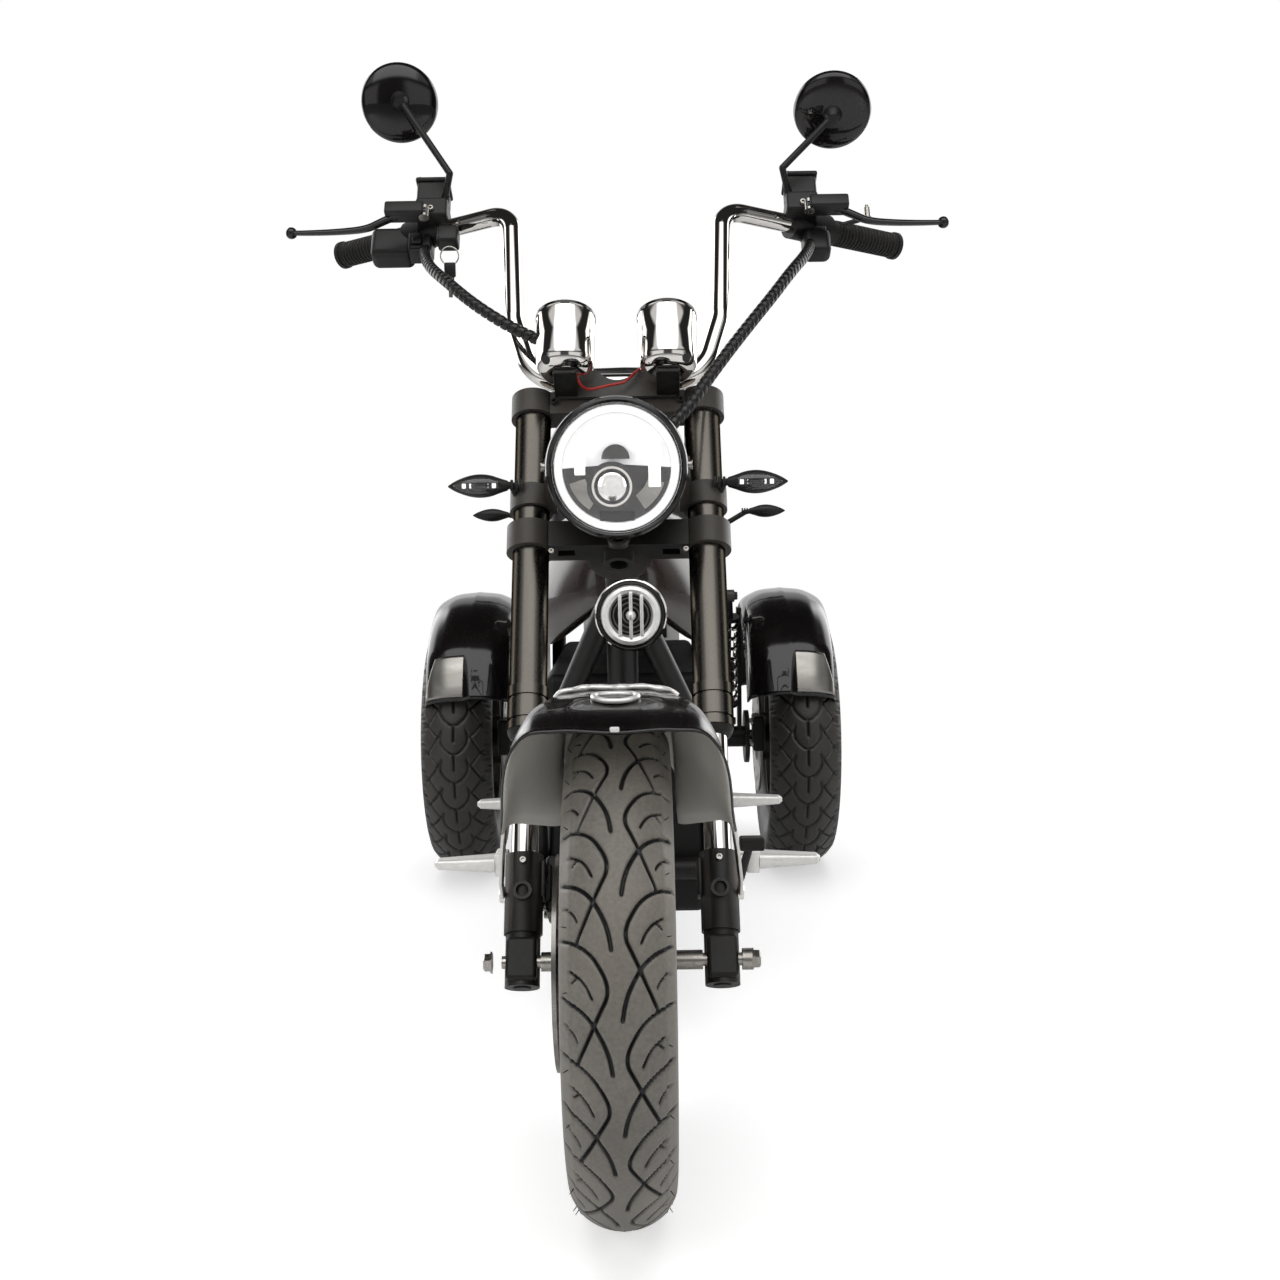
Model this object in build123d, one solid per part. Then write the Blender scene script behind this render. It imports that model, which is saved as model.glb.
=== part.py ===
from build123d import *
import math
import os

# A three-wheeled chopper-style electric scooter. Millimetres, +Z up, rider's left at +X, front at -Y.
# The origin is on the ground, in the middle of the overall length and width.

# Driving dimensions
wheelbase = 1320.0
front_axle_y = -686.0
rake = 29.6                   # steering axis, degrees back from upright
trail_offset = 45.0           # axle in front of the steering axis
fork_setback = 10.0           # axle in front of the fork legs
fork_spacing = 188.0          # between the centres of the fork legs
rear_track = 596.0

# Wheels and tyres
rim_radius = 152.0            # bead seat of a twelve-inch rim
front_tyre_height = 83.0      # from the bead seat to the crown
front_tyre_width = 94.0
rear_tyre_height = 84.0
rear_tyre_width = 120.0
rim_wall = 10.0
rim_lip = 7.0
front_rim_width = 64.0
rear_rim_width = 84.0
spoke_count = 5
spoke_width = 34.0
spoke_depth = 26.0
bearing_gap = 0.05            # running fit, on the radius
air = 0.3                     # between pieces that turn past each other
disc_thickness = 4.0

# Front end, along the steering axis from the level of the axle
axle_radius = 6.0
axle_half = 118.0
nut_radius = 10.0
nut_width = 9.0
leg_bottom = -22.0
casting_step = 28.0
casting_top = 105.0
casting_radius = 18.5
casting_foot_radius = 16.5
lug_half = 14.5
stanchion_radius = 13.5
tube_bottom = 234.0
collar_height = 46.0
collar_radius = 21.0
upper_tube_radius = 19.5
lower_clamp_bottom = 437.0
lower_clamp_thickness = 30.0
upper_clamp_bottom = 604.0
upper_clamp_thickness = 28.0
clamp_wall = 5.0
stem_radius = 12.5
head_radius = 27.0

# Handlebar
bar_radius = 11.1
bar_rise = 20.0               # bar centre over the upper clamp
grip_radius = 15.5
grip_length = 112.0
grip_end_x = 360.0
grip_end_back = 149.0
grip_end_level = 962.0

# Lamps and dials
headlight_radius = 73.0
headlight_depth = 86.0
headlight_face_y = -526.0
headlight_level = 698.0
cup_radius = 32.0
cup_length = 62.0
cup_spread = 56.0
cup_ahead = 52.0              # of the plane of the fork legs

# Frame and body
rail_radius = 14.0
rail_x = 112.0
rail_level = 215.0
down_tube_radius = 18.0
backbone_radius = 20.0
seat_rail_level = 566.0
box_bottom = 155.0
box_top = 455.0
box_front = 440.0
box_back = 900.0
body_edge = 12.0
seat_half_width = 150.0
sheet = 3.0

# Rear axle
housing_radius = 19.0
motor_radius = 95.0
motor_half = 78.0
stub_radius = 12.0
stub_reach = 54.0             # outer end of the stub, from the middle of the tyre
rear_disc_inset = 68.0        # disc, inwards from the middle of the tyre
flange_inset = 16.0           # end of the housing, inwards from the disc
rear_disc_radius = 100.0
rear_hub_radius = 44.0
rear_hub_out = 38.0
fender_gap = 37.0             # between the tyre and the crown of a rear mudguard
fender_half_width = 76.0
fender_drop = 46.0            # from the crown to the lower edge of a side
fender_inset = 24.0           # middle of a rear mudguard, inwards from the middle of the tyre
shock_inset = 38.0            # damper, inwards from the end of the housing

# Worked out from the above
front_tyre_radius = rim_radius + front_tyre_height
rear_tyre_radius = rim_radius + rear_tyre_height
rear_disc_x = rear_track / 2 - rear_disc_inset
housing_half = rear_disc_x - flange_inset
shock_x = housing_half - shock_inset
rear_axle_y = front_axle_y + wheelbase
lean = math.radians(rake)
steer_plane = Plane(
    origin=(0, front_axle_y + fork_setback * math.cos(lean), front_tyre_radius - fork_setback * math.sin(lean)),
    x_dir=(1, 0, 0), z_dir=(0, math.sin(lean), math.cos(lean)))
leg_x = fork_spacing / 2
axis_back = trail_offset - fork_setback
upper_clamp_top = upper_clamp_bottom + upper_clamp_thickness
sides = (-1, 1)
steered = steer_plane.location


def aft(distance):
    """The Y of a place that lies this far behind the front axle."""
    return front_axle_y + distance


def bar(start, end, radius):
    """A round bar between two points."""
    run = Vector(*end) - Vector(*start)
    plane = Plane(origin=start, z_dir=run)
    return plane.location * Cylinder(radius, run.length, align=(Align.CENTER, Align.CENTER, Align.MIN))


def tube(points, bends, radius):
    """A round tube along straight runs that are joined by arcs."""
    path = FilletPolyline(*points, radius=bends)
    section = Plane(origin=path @ 0, z_dir=path % 0) * Circle(radius)
    return sweep(section, path=path)


def block(x, y, z, edge=0.0):
    """A box from three pairs of limits, with its edges rounded by `edge`."""
    middle = ((x[0] + x[1]) / 2, (y[0] + y[1]) / 2, (z[0] + z[1]) / 2)
    solid = Pos(*middle) * Box(x[1] - x[0], y[1] - y[0], z[1] - z[0])
    return fillet(solid.edges(), edge) if edge else solid


def across(x0, x1, y, z, radius):
    """A round bar along X."""
    return bar((x0, y, z), (x1, y, z), radius)


def mirrored(make):
    """The same piece on both sides of the middle plane; make takes the side, -1 or 1."""
    return [make(side) for side in sides]


nodes = {}


def keep(name, *solids):
    """Collects the solids of one node."""
    nodes[name] = Compound(children=list(solids)) if len(solids) > 1 else solids[0]


# Wheels, built about the origin with the axle along X
def tyre(radius, width):
    """A tyre as one ring: its section has two straight side walls and a crown of three arcs."""
    half = width / 2
    wall = (radius - rim_radius) * 0.45 + rim_radius
    shoulder = radius - 0.16 * width
    foot = half * 0.66
    outline = [
        Line((-foot, rim_radius), (foot, rim_radius)),
        ThreePointArc((foot, rim_radius), (half * 0.95, (rim_radius + wall) / 2), (half, wall)),
        ThreePointArc((half, wall), (half * 0.97, (wall + shoulder) / 2), (half * 0.80, shoulder)),
        ThreePointArc((half * 0.80, shoulder), (0, radius), (-half * 0.80, shoulder)),
        ThreePointArc((-half * 0.80, shoulder), (-half * 0.97, (wall + shoulder) / 2), (-half, wall)),
        ThreePointArc((-half, wall), (-half * 0.95, (rim_radius + wall) / 2), (-foot, rim_radius)),
    ]
    return revolve(make_face(Wire(outline).edges()), Axis.X)


def rim(width, hub_radius, hub_in, hub_out, bore):
    """A cast rim: barrel with two lips, hub from hub_in to hub_out along X, and flat spokes."""
    half = width / 2
    lip = rim_lip
    ring = Polyline(
        (-half, rim_radius + lip - 0.2), (-half, rim_radius - rim_wall), (half, rim_radius - rim_wall),
        (half, rim_radius + lip - 0.2), (half - 3, rim_radius + lip - 0.2), (half - 3, rim_radius),
        (3 - half, rim_radius), (3 - half, rim_radius + lip - 0.2), close=True)
    solid = revolve(make_face(ring.edges()), Axis.X)
    solid += bar((hub_in, 0, 0), (hub_out, 0, 0), hub_radius)
    reach = rim_radius - rim_wall / 2
    for number in range(spoke_count):
        spoke = Pos(0, 0, reach / 2 + hub_radius / 4) * Box(spoke_depth, spoke_width, reach - hub_radius / 2)
        solid += Rot(360 / spoke_count * number, 0, 0) * spoke
    return solid - bar((hub_in - 1, 0, 0), (hub_out + 1, 0, 0), bore)


def brake_disc(radius, inner, x, holes):
    """A flat brake disc in the plane x, with a ring of round holes."""
    start = x - disc_thickness / 2
    end = x + disc_thickness / 2
    disc = bar((start, 0, 0), (end, 0, 0), radius) - bar((start - 1, 0, 0), (end + 1, 0, 0), inner)
    for number in range(holes):
        angle = 2 * math.pi * number / holes
        y = radius * 0.80 * math.cos(angle)
        z = radius * 0.80 * math.sin(angle)
        disc -= bar((start - 1, y, z), (end + 1, y, z), radius * 0.06)
    return disc


# Front wheel
front_centre = Pos(0, front_axle_y, front_tyre_radius)
front_hub_half = 50.0
front_disc_x = -58.0
front_hub_radius = 30.0
front_disc_seat = 34.0
front_disc_radius = 100.0
tyre_front = tyre(front_tyre_radius, front_tyre_width)
rim_front = rim(front_rim_width, front_hub_radius, front_disc_x - disc_thickness / 2, front_hub_half,
                axle_radius + bearing_gap)
keep("front_tyre", front_centre * (tyre_front - rim_front))
keep("front_rim", front_centre * rim_front)
keep("front_brake_disc", front_centre * brake_disc(front_disc_radius, front_hub_radius, front_disc_x, 12))

# Rear wheels: the disc and the long side of the hub lie towards the middle
for side, name in zip(sides, ("right", "left")):
    centre = Pos(side * rear_track / 2, rear_axle_y, rear_tyre_radius)
    disc_x = side * (rear_disc_x - rear_track / 2)
    hub_in = side * (rear_disc_x - disc_thickness / 2 - rear_track / 2)
    hub_out = side * rear_hub_out
    cast = rim(rear_rim_width, rear_hub_radius, min(hub_in, hub_out), max(hub_in, hub_out),
               stub_radius + bearing_gap)
    keep("rear_tyre_" + name, centre * (tyre(rear_tyre_radius, rear_tyre_width) - cast))
    keep("rear_rim_" + name, centre * cast)
    keep("rear_brake_disc_" + name, centre * brake_disc(rear_disc_radius, rear_hub_radius, disc_x, 12))

# Front axle, with a spacer and a nut on each side
axle_y = front_axle_y
axle_z = front_tyre_radius
axle = across(-axle_half, axle_half, axle_y, axle_z, axle_radius)
axle += across(front_hub_half + air, leg_x - casting_radius, axle_y, axle_z, 9.0)
axle += across(-leg_x + casting_radius, front_disc_x - disc_thickness / 2 - air, axle_y, axle_z, 9.0)
nut_start = leg_x + casting_radius
axle += across(nut_start, nut_start + nut_width, axle_y, axle_z, nut_radius)
axle -= across(-axle_half - 1, -nut_start, axle_y, axle_z, nut_radius)


def fork_casting(side):
    """The black foot of a fork leg, square-bottomed, with a lug for the axle."""
    x = side * leg_x
    foot = bar((x, 0, leg_bottom), (x, 0, casting_step), casting_foot_radius)
    body = bar((x, 0, casting_step), (x, 0, casting_top), casting_radius)
    lug = block((x - lug_half, x + lug_half), (-fork_setback - axle_radius - 5, 0), (leg_bottom + 4, 22), 4.0)
    boss = bar((x, -casting_radius - 3, 66), (x, 0, 66), 9.0) - bar((x, -casting_radius - 4, 66), (x, -12, 66), 6.0)
    return steered * (foot + body + lug + boss) - axle


keep("fork_castings", *mirrored(fork_casting))
keep("front_axle", axle)
keep("fork_stanchions", *mirrored(lambda side: steered * bar(
    (side * leg_x, 0, casting_top), (side * leg_x, 0, tube_bottom), stanchion_radius)))


def fork_tube(side):
    """A black upper tube with its grooved collar at the lower end."""
    x = side * leg_x
    leg = bar((x, 0, tube_bottom), (x, 0, upper_clamp_top), upper_tube_radius)
    top = tube_bottom + collar_height
    leg += bar((x, 0, tube_bottom), (x, 0, top), collar_radius)
    for level in (tube_bottom + 8, top - 14):
        leg -= bar((x, 0, level), (x, 0, level + 3), collar_radius + 1) - bar(
            (x, 0, level), (x, 0, level + 3), collar_radius - 1.5)
    return steered * leg


fork_legs = mirrored(fork_tube)
keep("fork_tubes", *fork_legs)


def clamp(bottom, thickness, wall, neck):
    """A fork clamp: an eye round each leg, a plate between them and a boss round the steering axis."""
    top = bottom + thickness
    eye = upper_tube_radius + wall
    solid = block((-leg_x, leg_x), (-neck, neck), (bottom, top))
    solid += block((-34, 34), (0, axis_back), (bottom, top))
    solid += bar((0, axis_back, bottom), (0, axis_back, top), 30.0)
    for side in sides:
        solid += bar((side * leg_x, 0, bottom), (side * leg_x, 0, top), eye)
    for side in sides:
        solid -= bar((side * leg_x, 0, bottom - 1), (side * leg_x, 0, top + 1), upper_tube_radius)
    return solid


lower_clamp = clamp(lower_clamp_bottom, lower_clamp_thickness, clamp_wall + 1.5, 17.0)
for side in sides:
    slot = block((side * 56 - 9, side * 56 + 9), (-6, 6), (lower_clamp_bottom - 1, lower_clamp_bottom + 12))
    lower_clamp -= slot
lower_clamp += bar((0, axis_back, lower_clamp_bottom), (0, axis_back, upper_clamp_bottom), stem_radius)
boss_level = lower_clamp_bottom + 8
lower_clamp += bar((0, -26, boss_level), (0, 0, boss_level), 13.0)
lower_clamp -= bar((0, -27, boss_level), (0, -14, boss_level), 9.0)
keep("lower_clamp", steered * lower_clamp)
keep("upper_clamp", steered * clamp(upper_clamp_bottom, upper_clamp_thickness, clamp_wall, 15.0))

# Handlebar: level between the risers, up both sides, then out and down to the grips
bar_level = upper_clamp_top + bar_rise
bar_points = [(grip_end_x, grip_end_back, grip_end_level), (127, 15, 912), (119, 5, 742), (94, 0, bar_level)]
bar_bends = [40.0, 60.0, 56.0]
route = bar_points + [(-x, y, z) for x, y, z in reversed(bar_points)]
handlebar = steered * tube(route, bar_bends + list(reversed(bar_bends)), bar_radius)


def riser(side):
    """A block that clamps the handlebar to the upper clamp."""
    x = side * 46.0
    solid = block((x - 15, x + 15), (-17, 17), (upper_clamp_top, bar_level + 16), 4.0)
    return steered * solid - handlebar


def grip_span(side, start, length, radius):
    """A round piece along the outer end of the handlebar, `start` from its end."""
    end = Vector(grip_end_x, grip_end_back, grip_end_level)
    inward = (Vector(*bar_points[1]) - end).normalized()
    near = end + inward * start
    far = end + inward * (start + length)
    return steered * bar((side * near.X, near.Y, near.Z), (side * far.X, far.Y, far.Z), radius)


keep("handlebar", handlebar)
keep("grips", *mirrored(lambda side: grip_span(side, 0, grip_length, grip_radius) + grip_span(
    side, -2, 6, grip_radius + 2) - handlebar))


def bar_place(side, start, ahead=0.0, up=0.0):
    """A point beside the handlebar, in the steered frame."""
    end = Vector(grip_end_x, grip_end_back, grip_end_level)
    inward = (Vector(*bar_points[1]) - end).normalized()
    spot = end + inward * start
    return (side * spot.X, spot.Y - ahead, spot.Z + up)


def switch_pod(side):
    """Switch housing round the bar beside the grip."""
    pod = grip_span(side, grip_length + 1, 30, 20.0)
    x, y, z = bar_place(side, grip_length + 22, 4, -22)
    return pod + steered * block((x - 15, x + 15), (y - 14, y + 14), (z - 14, z + 14), 4.0)


def perch(side):
    """Switch housing and lever perch with its clamp, brake fluid cup and lever pivot."""
    start = grip_length + 31
    solid = switch_pod(side) + grip_span(side, start, 27, 18.0)
    x, y, z = bar_place(side, start + 11, 26, 10)
    solid += steered * block((x - 20, x + 20), (y - 14, y + 26), (z - 16, z + 12), 4.0)
    solid += steered * block((x - 19, x + 19), (y - 13, y + 23), (z + 8, z + 38), 4.0)
    return solid - handlebar


lever_rows = (
    # across, back and along the steering axis, radius of the run that starts here
    (236.0, 31.0, 928.0, 6.0),
    (272.0, 34.0, 926.0, 5.0),
    (308.0, 43.0, 914.0, 4.2),
    (404.0, 56.0, 921.0, 7.5),
)


def lever(side):
    """Brake lever: three straight runs, thinner outwards, with a ball at the tip."""
    spots = [(side * x, y, t) for x, y, t, radius in lever_rows]
    solid = Pos(*spots[3]) * Sphere(lever_rows[3][3])
    for start, end, row in zip(spots, spots[1:], lever_rows):
        solid += bar(start, end, row[3])
    for spot, row in zip(spots[1:3], lever_rows):
        solid += Pos(*spot) * Sphere(row[3] - 0.1)
    return steered * solid


perches = mirrored(perch)
keep("bar_controls", *perches)
keep("brake_levers", *[lever(side) - clampee for side, clampee in zip(sides, perches)])

# Mirrors: the two heads are set a little differently, as a rider leaves them
mirror_rows = (
    # side, head across and level in the steered frame, tilt back, turn
    (-1, 268.0, 1074.0, 8.0, 10.0),
    (1, 268.0, 1036.0, 34.0, -6.0),
)
mirror_radius = 48.0
mirror_rim = 41.0
mirror_depth = 24.0
stem_pipe_radius = 4.2
stalks = []
shells = []
glasses = []
for side, head_x, head_level, tilt, turn in mirror_rows:
    foot = bar_place(side, grip_length + 53, 8, 12)
    knee = (side * 204.0, 12, 972.0)
    hub = Vector(side * head_x, -6, head_level)
    spot = (steered * Pos(*hub)).position
    shell = Pos(spot.X, spot.Y, spot.Z) * Rot(tilt, 0, turn) * Rot(90, 0, 0) * (
        Pos(0, 0, -mirror_depth / 2) * Cone(mirror_radius, mirror_rim, mirror_depth))
    shells.append(fillet(shell.edges(), 6.0))
    glass = Pos(spot.X, spot.Y, spot.Z) * Rot(tilt, 0, turn) * Rot(90, 0, 0) * (
        Pos(0, 0, -mirror_depth) * Cylinder(mirror_radius - 8, 2.0))
    glasses.append(glass)
    pipe = steered * (bar(foot, knee, stem_pipe_radius) + Pos(*knee) * Sphere(
        stem_pipe_radius) + bar(knee, tuple(hub), stem_pipe_radius))
    stalks.append(pipe)
stalks = [stalk - shell for stalk, shell in zip(stalks, shells)]
stalks = [stalk.solids().sort_by(SortBy.VOLUME)[-1] for stalk in stalks]
stalks = [stalk - clampee for stalk, clampee in zip(stalks, perches)]
keep("mirror_stalks", *[stalk.solids().sort_by(SortBy.VOLUME)[-1] for stalk in stalks])
keep("mirror_heads", *shells)
keep("mirror_glasses", *[glass - shell for glass, shell in zip(glasses, shells)])


# Dials: two cups that lean back with the steering axis, on one bracket
cup_seat = upper_clamp_top + 8


def cup(side):
    """A dial cup with a rounded bottom."""
    x = side * cup_spread
    solid = bar((x, -cup_ahead, cup_seat), (x, -cup_ahead, cup_seat + cup_length), cup_radius)
    return steered * fillet(solid.edges().sort_by(Axis((0, 0, 0), (0, 0, 1)))[0], 14.0)


def dial(side):
    """The face of a dial."""
    x = side * cup_spread
    start = cup_seat + cup_length
    return steered * bar((x, -cup_ahead, start), (x, -cup_ahead, start + 3), cup_radius - 3)


cup_bracket = block((-cup_spread - 14, cup_spread + 14), (-cup_ahead - 12, -17), (cup_seat - 4, cup_seat))
cup_bracket += block((-62, 62), (-22, -8), (upper_clamp_top, cup_seat))
keep("dial_cups", *mirrored(cup))
keep("dial_faces", *mirrored(dial))
risers = mirrored(riser)
keep("bar_clamp", steered * cup_bracket - handlebar + risers[0] + risers[1])

# Headlight, aimed level, on two ears that clamp the fork tubes
face = Plane(origin=(0, headlight_face_y, headlight_level), x_dir=(1, 0, 0), z_dir=(0, 1, 0))
bucket = face.location * (
    Pos(0, 0, 14) * Cylinder(headlight_radius, 28) + Pos(0, 0, 28 + (headlight_depth - 28) / 2) * Cone(
        headlight_radius - 4, headlight_radius * 0.55, headlight_depth - 28))
bucket -= face.location * (Pos(0, 0, 12) * Cylinder(headlight_radius - 7, 24))
lens = face.location * (Pos(0, 0, 12) * Cylinder(headlight_radius - 7, 24))


def ear(side):
    """A bracket from a fork tube to the side of the headlight."""
    ring = bar((side * leg_x, 0, 486), (side * leg_x, 0, 512), upper_tube_radius + 4)
    arm = block((side * 71 - 5, side * 71 + 5), (-70, 2), (486, 512))
    return steered * (ring + arm) - fork_legs[0] - fork_legs[1] - bucket


keep("headlight_shell", bucket)
keep("headlight_lens", lens)
ears = mirrored(ear)
keep("headlight_ears", *[piece.solids().sort_by(SortBy.VOLUME)[-1] for piece in ears])


# Turn signals: leaf-shaped pods on short stalks
def signal(side, x, y, z, length, height):
    """A leaf-shaped lamp along X from x outwards, turned from one arc, with a collar at its inner end."""
    leaf = Wire([Line((-2, 0), (-2, 5.5)), ThreePointArc((-2, 5.5), (length * 0.45, height / 2), (length, 2.5)),
                 Line((length, 2.5), (length, 0)), Line((length, 0), (-2, 0))])
    pod = revolve(make_face(leaf.edges()), Axis.X)
    return Pos(x, y, z) * Rot(0, 0, 0 if side > 0 else 180) * pod


def front_signal(side):
    """A front turn signal, carried by the fork tube."""
    spot = (steered * Pos(side * (leg_x + 24), -20, 498)).position
    arm = steered * bar((side * (leg_x + 8), -10, 498), (side * (leg_x + 24), -20, 498), 5.5)
    lamp = signal(side, spot.X, spot.Y, spot.Z, 64.0, 24.0)
    return (lamp + arm - fork_legs[0] - fork_legs[1] - ears[0] - ears[1]).solids().sort_by(SortBy.VOLUME)[-1]


keep("front_signals", *mirrored(front_signal))


# Front mudguard: thin arched sections that turn about the front axle and widen ahead of the fork
def guard_section(angle, crown, half, drop):
    """A thin arch, `angle` degrees ahead of the top, crown radius, half width and depth of its sides."""
    turn = math.radians(angle)
    plane = Plane(origin=(0, axle_y, axle_z), x_dir=(1, 0, 0), z_dir=(0, -math.cos(turn), -math.sin(turn)))
    up = plane.y_dir
    flip = 1 if up.Z > 0 else -1
    flat = half * 0.42
    inner = sheet
    outline = Polyline(
        (-half, flip * (crown - drop)), (-half + 2, flip * (crown - drop * 0.45)), (-flat, flip * crown),
        (flat, flip * crown), (half - 2, flip * (crown - drop * 0.45)), (half, flip * (crown - drop)),
        (half - inner, flip * (crown - drop)), (half - 2 - inner, flip * (crown - drop * 0.45 - inner * 0.4)),
        (flat - 1, flip * (crown - inner)), (1 - flat, flip * (crown - inner)),
        (-half + 2 + inner, flip * (crown - drop * 0.45 - inner * 0.4)), (-half + inner, flip * (crown - drop)),
        close=True)
    return plane * make_face(outline.edges())


guard_rows = (
    # degrees ahead of the top, crown radius, half width, depth of the sides
    (32.5, 281.0, 92.0, 96.0),
    (22.0, 271.0, 97.0, 106.0),
    (8.0, 263.0, 86.0, 122.0),
    (-6.0, 260.0, 73.0, 130.0),
    (-24.0, 260.0, 73.0, 60.0),
    (-52.0, 262.0, 68.0, 40.0),
)
fender = loft([guard_section(*row) for row in guard_rows], ruled=True)
fender -= steered * bar((leg_x, 0, leg_bottom), (leg_x, 0, upper_clamp_top), collar_radius + 2)
fender -= steered * bar((-leg_x, 0, leg_bottom), (-leg_x, 0, upper_clamp_top), collar_radius + 2)
strap_x = leg_x - casting_radius
for side in sides:
    outline = Polyline((0, -12, 62), (0, 10, 98), (0, -62, 222), (0, -92, 206), close=True)
    strap = extrude(make_face(outline.edges()), amount=4.5, dir=(1, 0, 0))
    strap = Pos(side * strap_x - (4.5 if side > 0 else 0), 0, 0) * strap
    foot = bar((side * (strap_x - 4), 0, 84), (side * leg_x, 0, 84), 8.0)
    fender += steered * (strap + foot)
fender -= steered * bar((leg_x, 0, leg_bottom), (leg_x, 0, casting_top), casting_radius)
fender -= steered * bar((-leg_x, 0, leg_bottom), (-leg_x, 0, casting_top), casting_radius)
keep("front_mudguard", fender.solids().sort_by(SortBy.VOLUME)[-1])

# Front brake caliper, behind the fork leg on the disc's side
caliper = block((front_disc_x - 16, front_disc_x + 14), (8, 62), (52, 108), 4.0)
caliper = steered * caliper - across(front_disc_x - disc_thickness / 2 - 1, front_disc_x + disc_thickness / 2 + 1,
                                     axle_y, axle_z, front_disc_radius + 2)
caliper += steered * block((-leg_x, front_disc_x - 10), (4, 30), (62, 98), 2.0)
caliper -= steered * bar((-leg_x, 0, leg_bottom), (-leg_x, 0, casting_top), casting_radius)
caliper -= fender
keep("front_caliper", caliper.solids().sort_by(SortBy.VOLUME)[-1])

# Frame: the head tube with the down tube and the backbone
head = steered * (bar((0, axis_back, lower_clamp_bottom + lower_clamp_thickness + air),
                      (0, axis_back, upper_clamp_bottom - air), head_radius))
head_spot = (steered * Pos(0, axis_back, 520)).position
low_spot = (steered * Pos(0, axis_back + 24, 500)).position
spine = head + bar((0, low_spot.Y, low_spot.Z), (0, aft(425), rail_level), down_tube_radius)
spine += bar((0, head_spot.Y, head_spot.Z), (0, aft(620), 560), backbone_radius)
spine += across(-rail_x, rail_x, aft(425), rail_level, rail_radius)
spine -= steered * bar((0, axis_back, lower_clamp_bottom), (0, axis_back, upper_clamp_top), stem_radius + bearing_gap)


def lower_rail(side):
    """Strut from the head, down beside the battery box and back along its foot."""
    points = [(side * 16, aft(322), 545), (side * rail_x, aft(425), 330), (side * rail_x, aft(445), rail_level),
              (side * rail_x, aft(990), rail_level)]
    return tube(points, [30.0, 40.0], rail_radius)


seat_rail_end = 1260.0


def seat_rail(side):
    """From the backbone out and back under the seat."""
    points = [(side * 12, aft(560), seat_rail_level), (side * rail_x, aft(660), seat_rail_level),
              (side * rail_x, aft(seat_rail_end), seat_rail_level)]
    return tube(points, [60.0], rail_radius)


keep("frame_spine", spine)
rails = [lower_rail(side) - spine for side in sides]
rails = [rail.solids().sort_by(SortBy.VOLUME)[-1] for rail in rails]
keep("lower_rails", *rails)
pan_z = seat_rail_level + rail_radius
pan_front = aft(655)
pan_back = aft(1290)
tower_distance = seat_rail_end - 24
tower_level = 500.0
seat_frame = seat_rail(-1) + seat_rail(1) + block((-125, 125), (pan_front, pan_back), (pan_z - 4, pan_z + 8))
seat_frame += across(-shock_x - 14, shock_x + 14, aft(tower_distance), tower_level, 6.0)
for side in sides:
    seat_frame += bar((side * rail_x, aft(tower_distance), tower_level),
                      (side * rail_x, aft(tower_distance), seat_rail_level), 9.0)
seat_frame = (seat_frame - spine).solids().sort_by(SortBy.VOLUME)[-1]
keep("seat_frame", seat_frame)
keep("rear_uprights", *mirrored(lambda side: bar(
    (side * rail_x, aft(950), rail_level), (side * rail_x, aft(1040), seat_rail_level), 11.0)
    - rails[0] - rails[1] - seat_frame))

# Battery box between the rails, with a closed front
battery = block((-rail_x + rail_radius + air, rail_x - rail_radius - air), (aft(box_front), aft(box_back)),
                (box_bottom, box_top), body_edge)
battery -= spine
battery -= rails[0] + rails[1]
keep("battery_box", battery.solids().sort_by(SortBy.VOLUME)[-1])

# Body cover that tapers towards the head like a tank
tank_rows = (
    # behind the front axle, half width, low edge, widest level, top, tunnel roof
    (362.0, 42.0, 540.0, 572.0, 612.0, 556.0),
    (430.0, 96.0, 500.0, 560.0, 640.0, 545.0),
    (540.0, 118.0, 488.0, 556.0, 655.0, 535.0),
    (650.0, 104.0, 505.0, 560.0, 640.0, 535.0),
)


def tank_section(distance, half, low, wide, top, roof):
    """A saddle section across the body cover."""
    plane = Plane(origin=(0, aft(distance), 0), x_dir=(1, 0, 0), z_dir=(0, -1, 0))
    outline = Polyline((-half * 0.86, low), (-half, wide), (-half * 0.62, top - 10), (0, top), (half * 0.62, top - 10),
                       (half, wide), (half * 0.86, low), (0, roof), close=True)
    return plane * make_face(outline.edges())


cover = loft([tank_section(*row) for row in tank_rows], ruled=True)
cover = cover - spine - seat_frame
keep("body_cover", cover.solids().sort_by(SortBy.VOLUME)[-1])


# Side covers under the seat
def side_cover(side):
    """A shallow panel outside the rails."""
    inner = rail_x + rail_radius + air
    x = sorted((side * inner, side * (inner + 30)))
    return block(x, (aft(640), aft(1010)), (385, seat_rail_level + 6), 10.0)


keep("side_covers", *mirrored(side_cover))

# Seats
cushion_foot = pan_z + 8 + air
rider_seat_height = 111.7
passenger_seat_height = 159.7
passenger_half_width = 130.0
seat_split = 991.0
cushion_edge = 30.0
keep("rider_seat", block((-seat_half_width, seat_half_width), (pan_front, aft(seat_split - 1)),
                         (cushion_foot, cushion_foot + rider_seat_height), cushion_edge))
keep("passenger_seat", block((-passenger_half_width, passenger_half_width), (aft(seat_split + 1), pan_back - 15),
                             (cushion_foot, cushion_foot + passenger_seat_height), cushion_edge))


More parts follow.
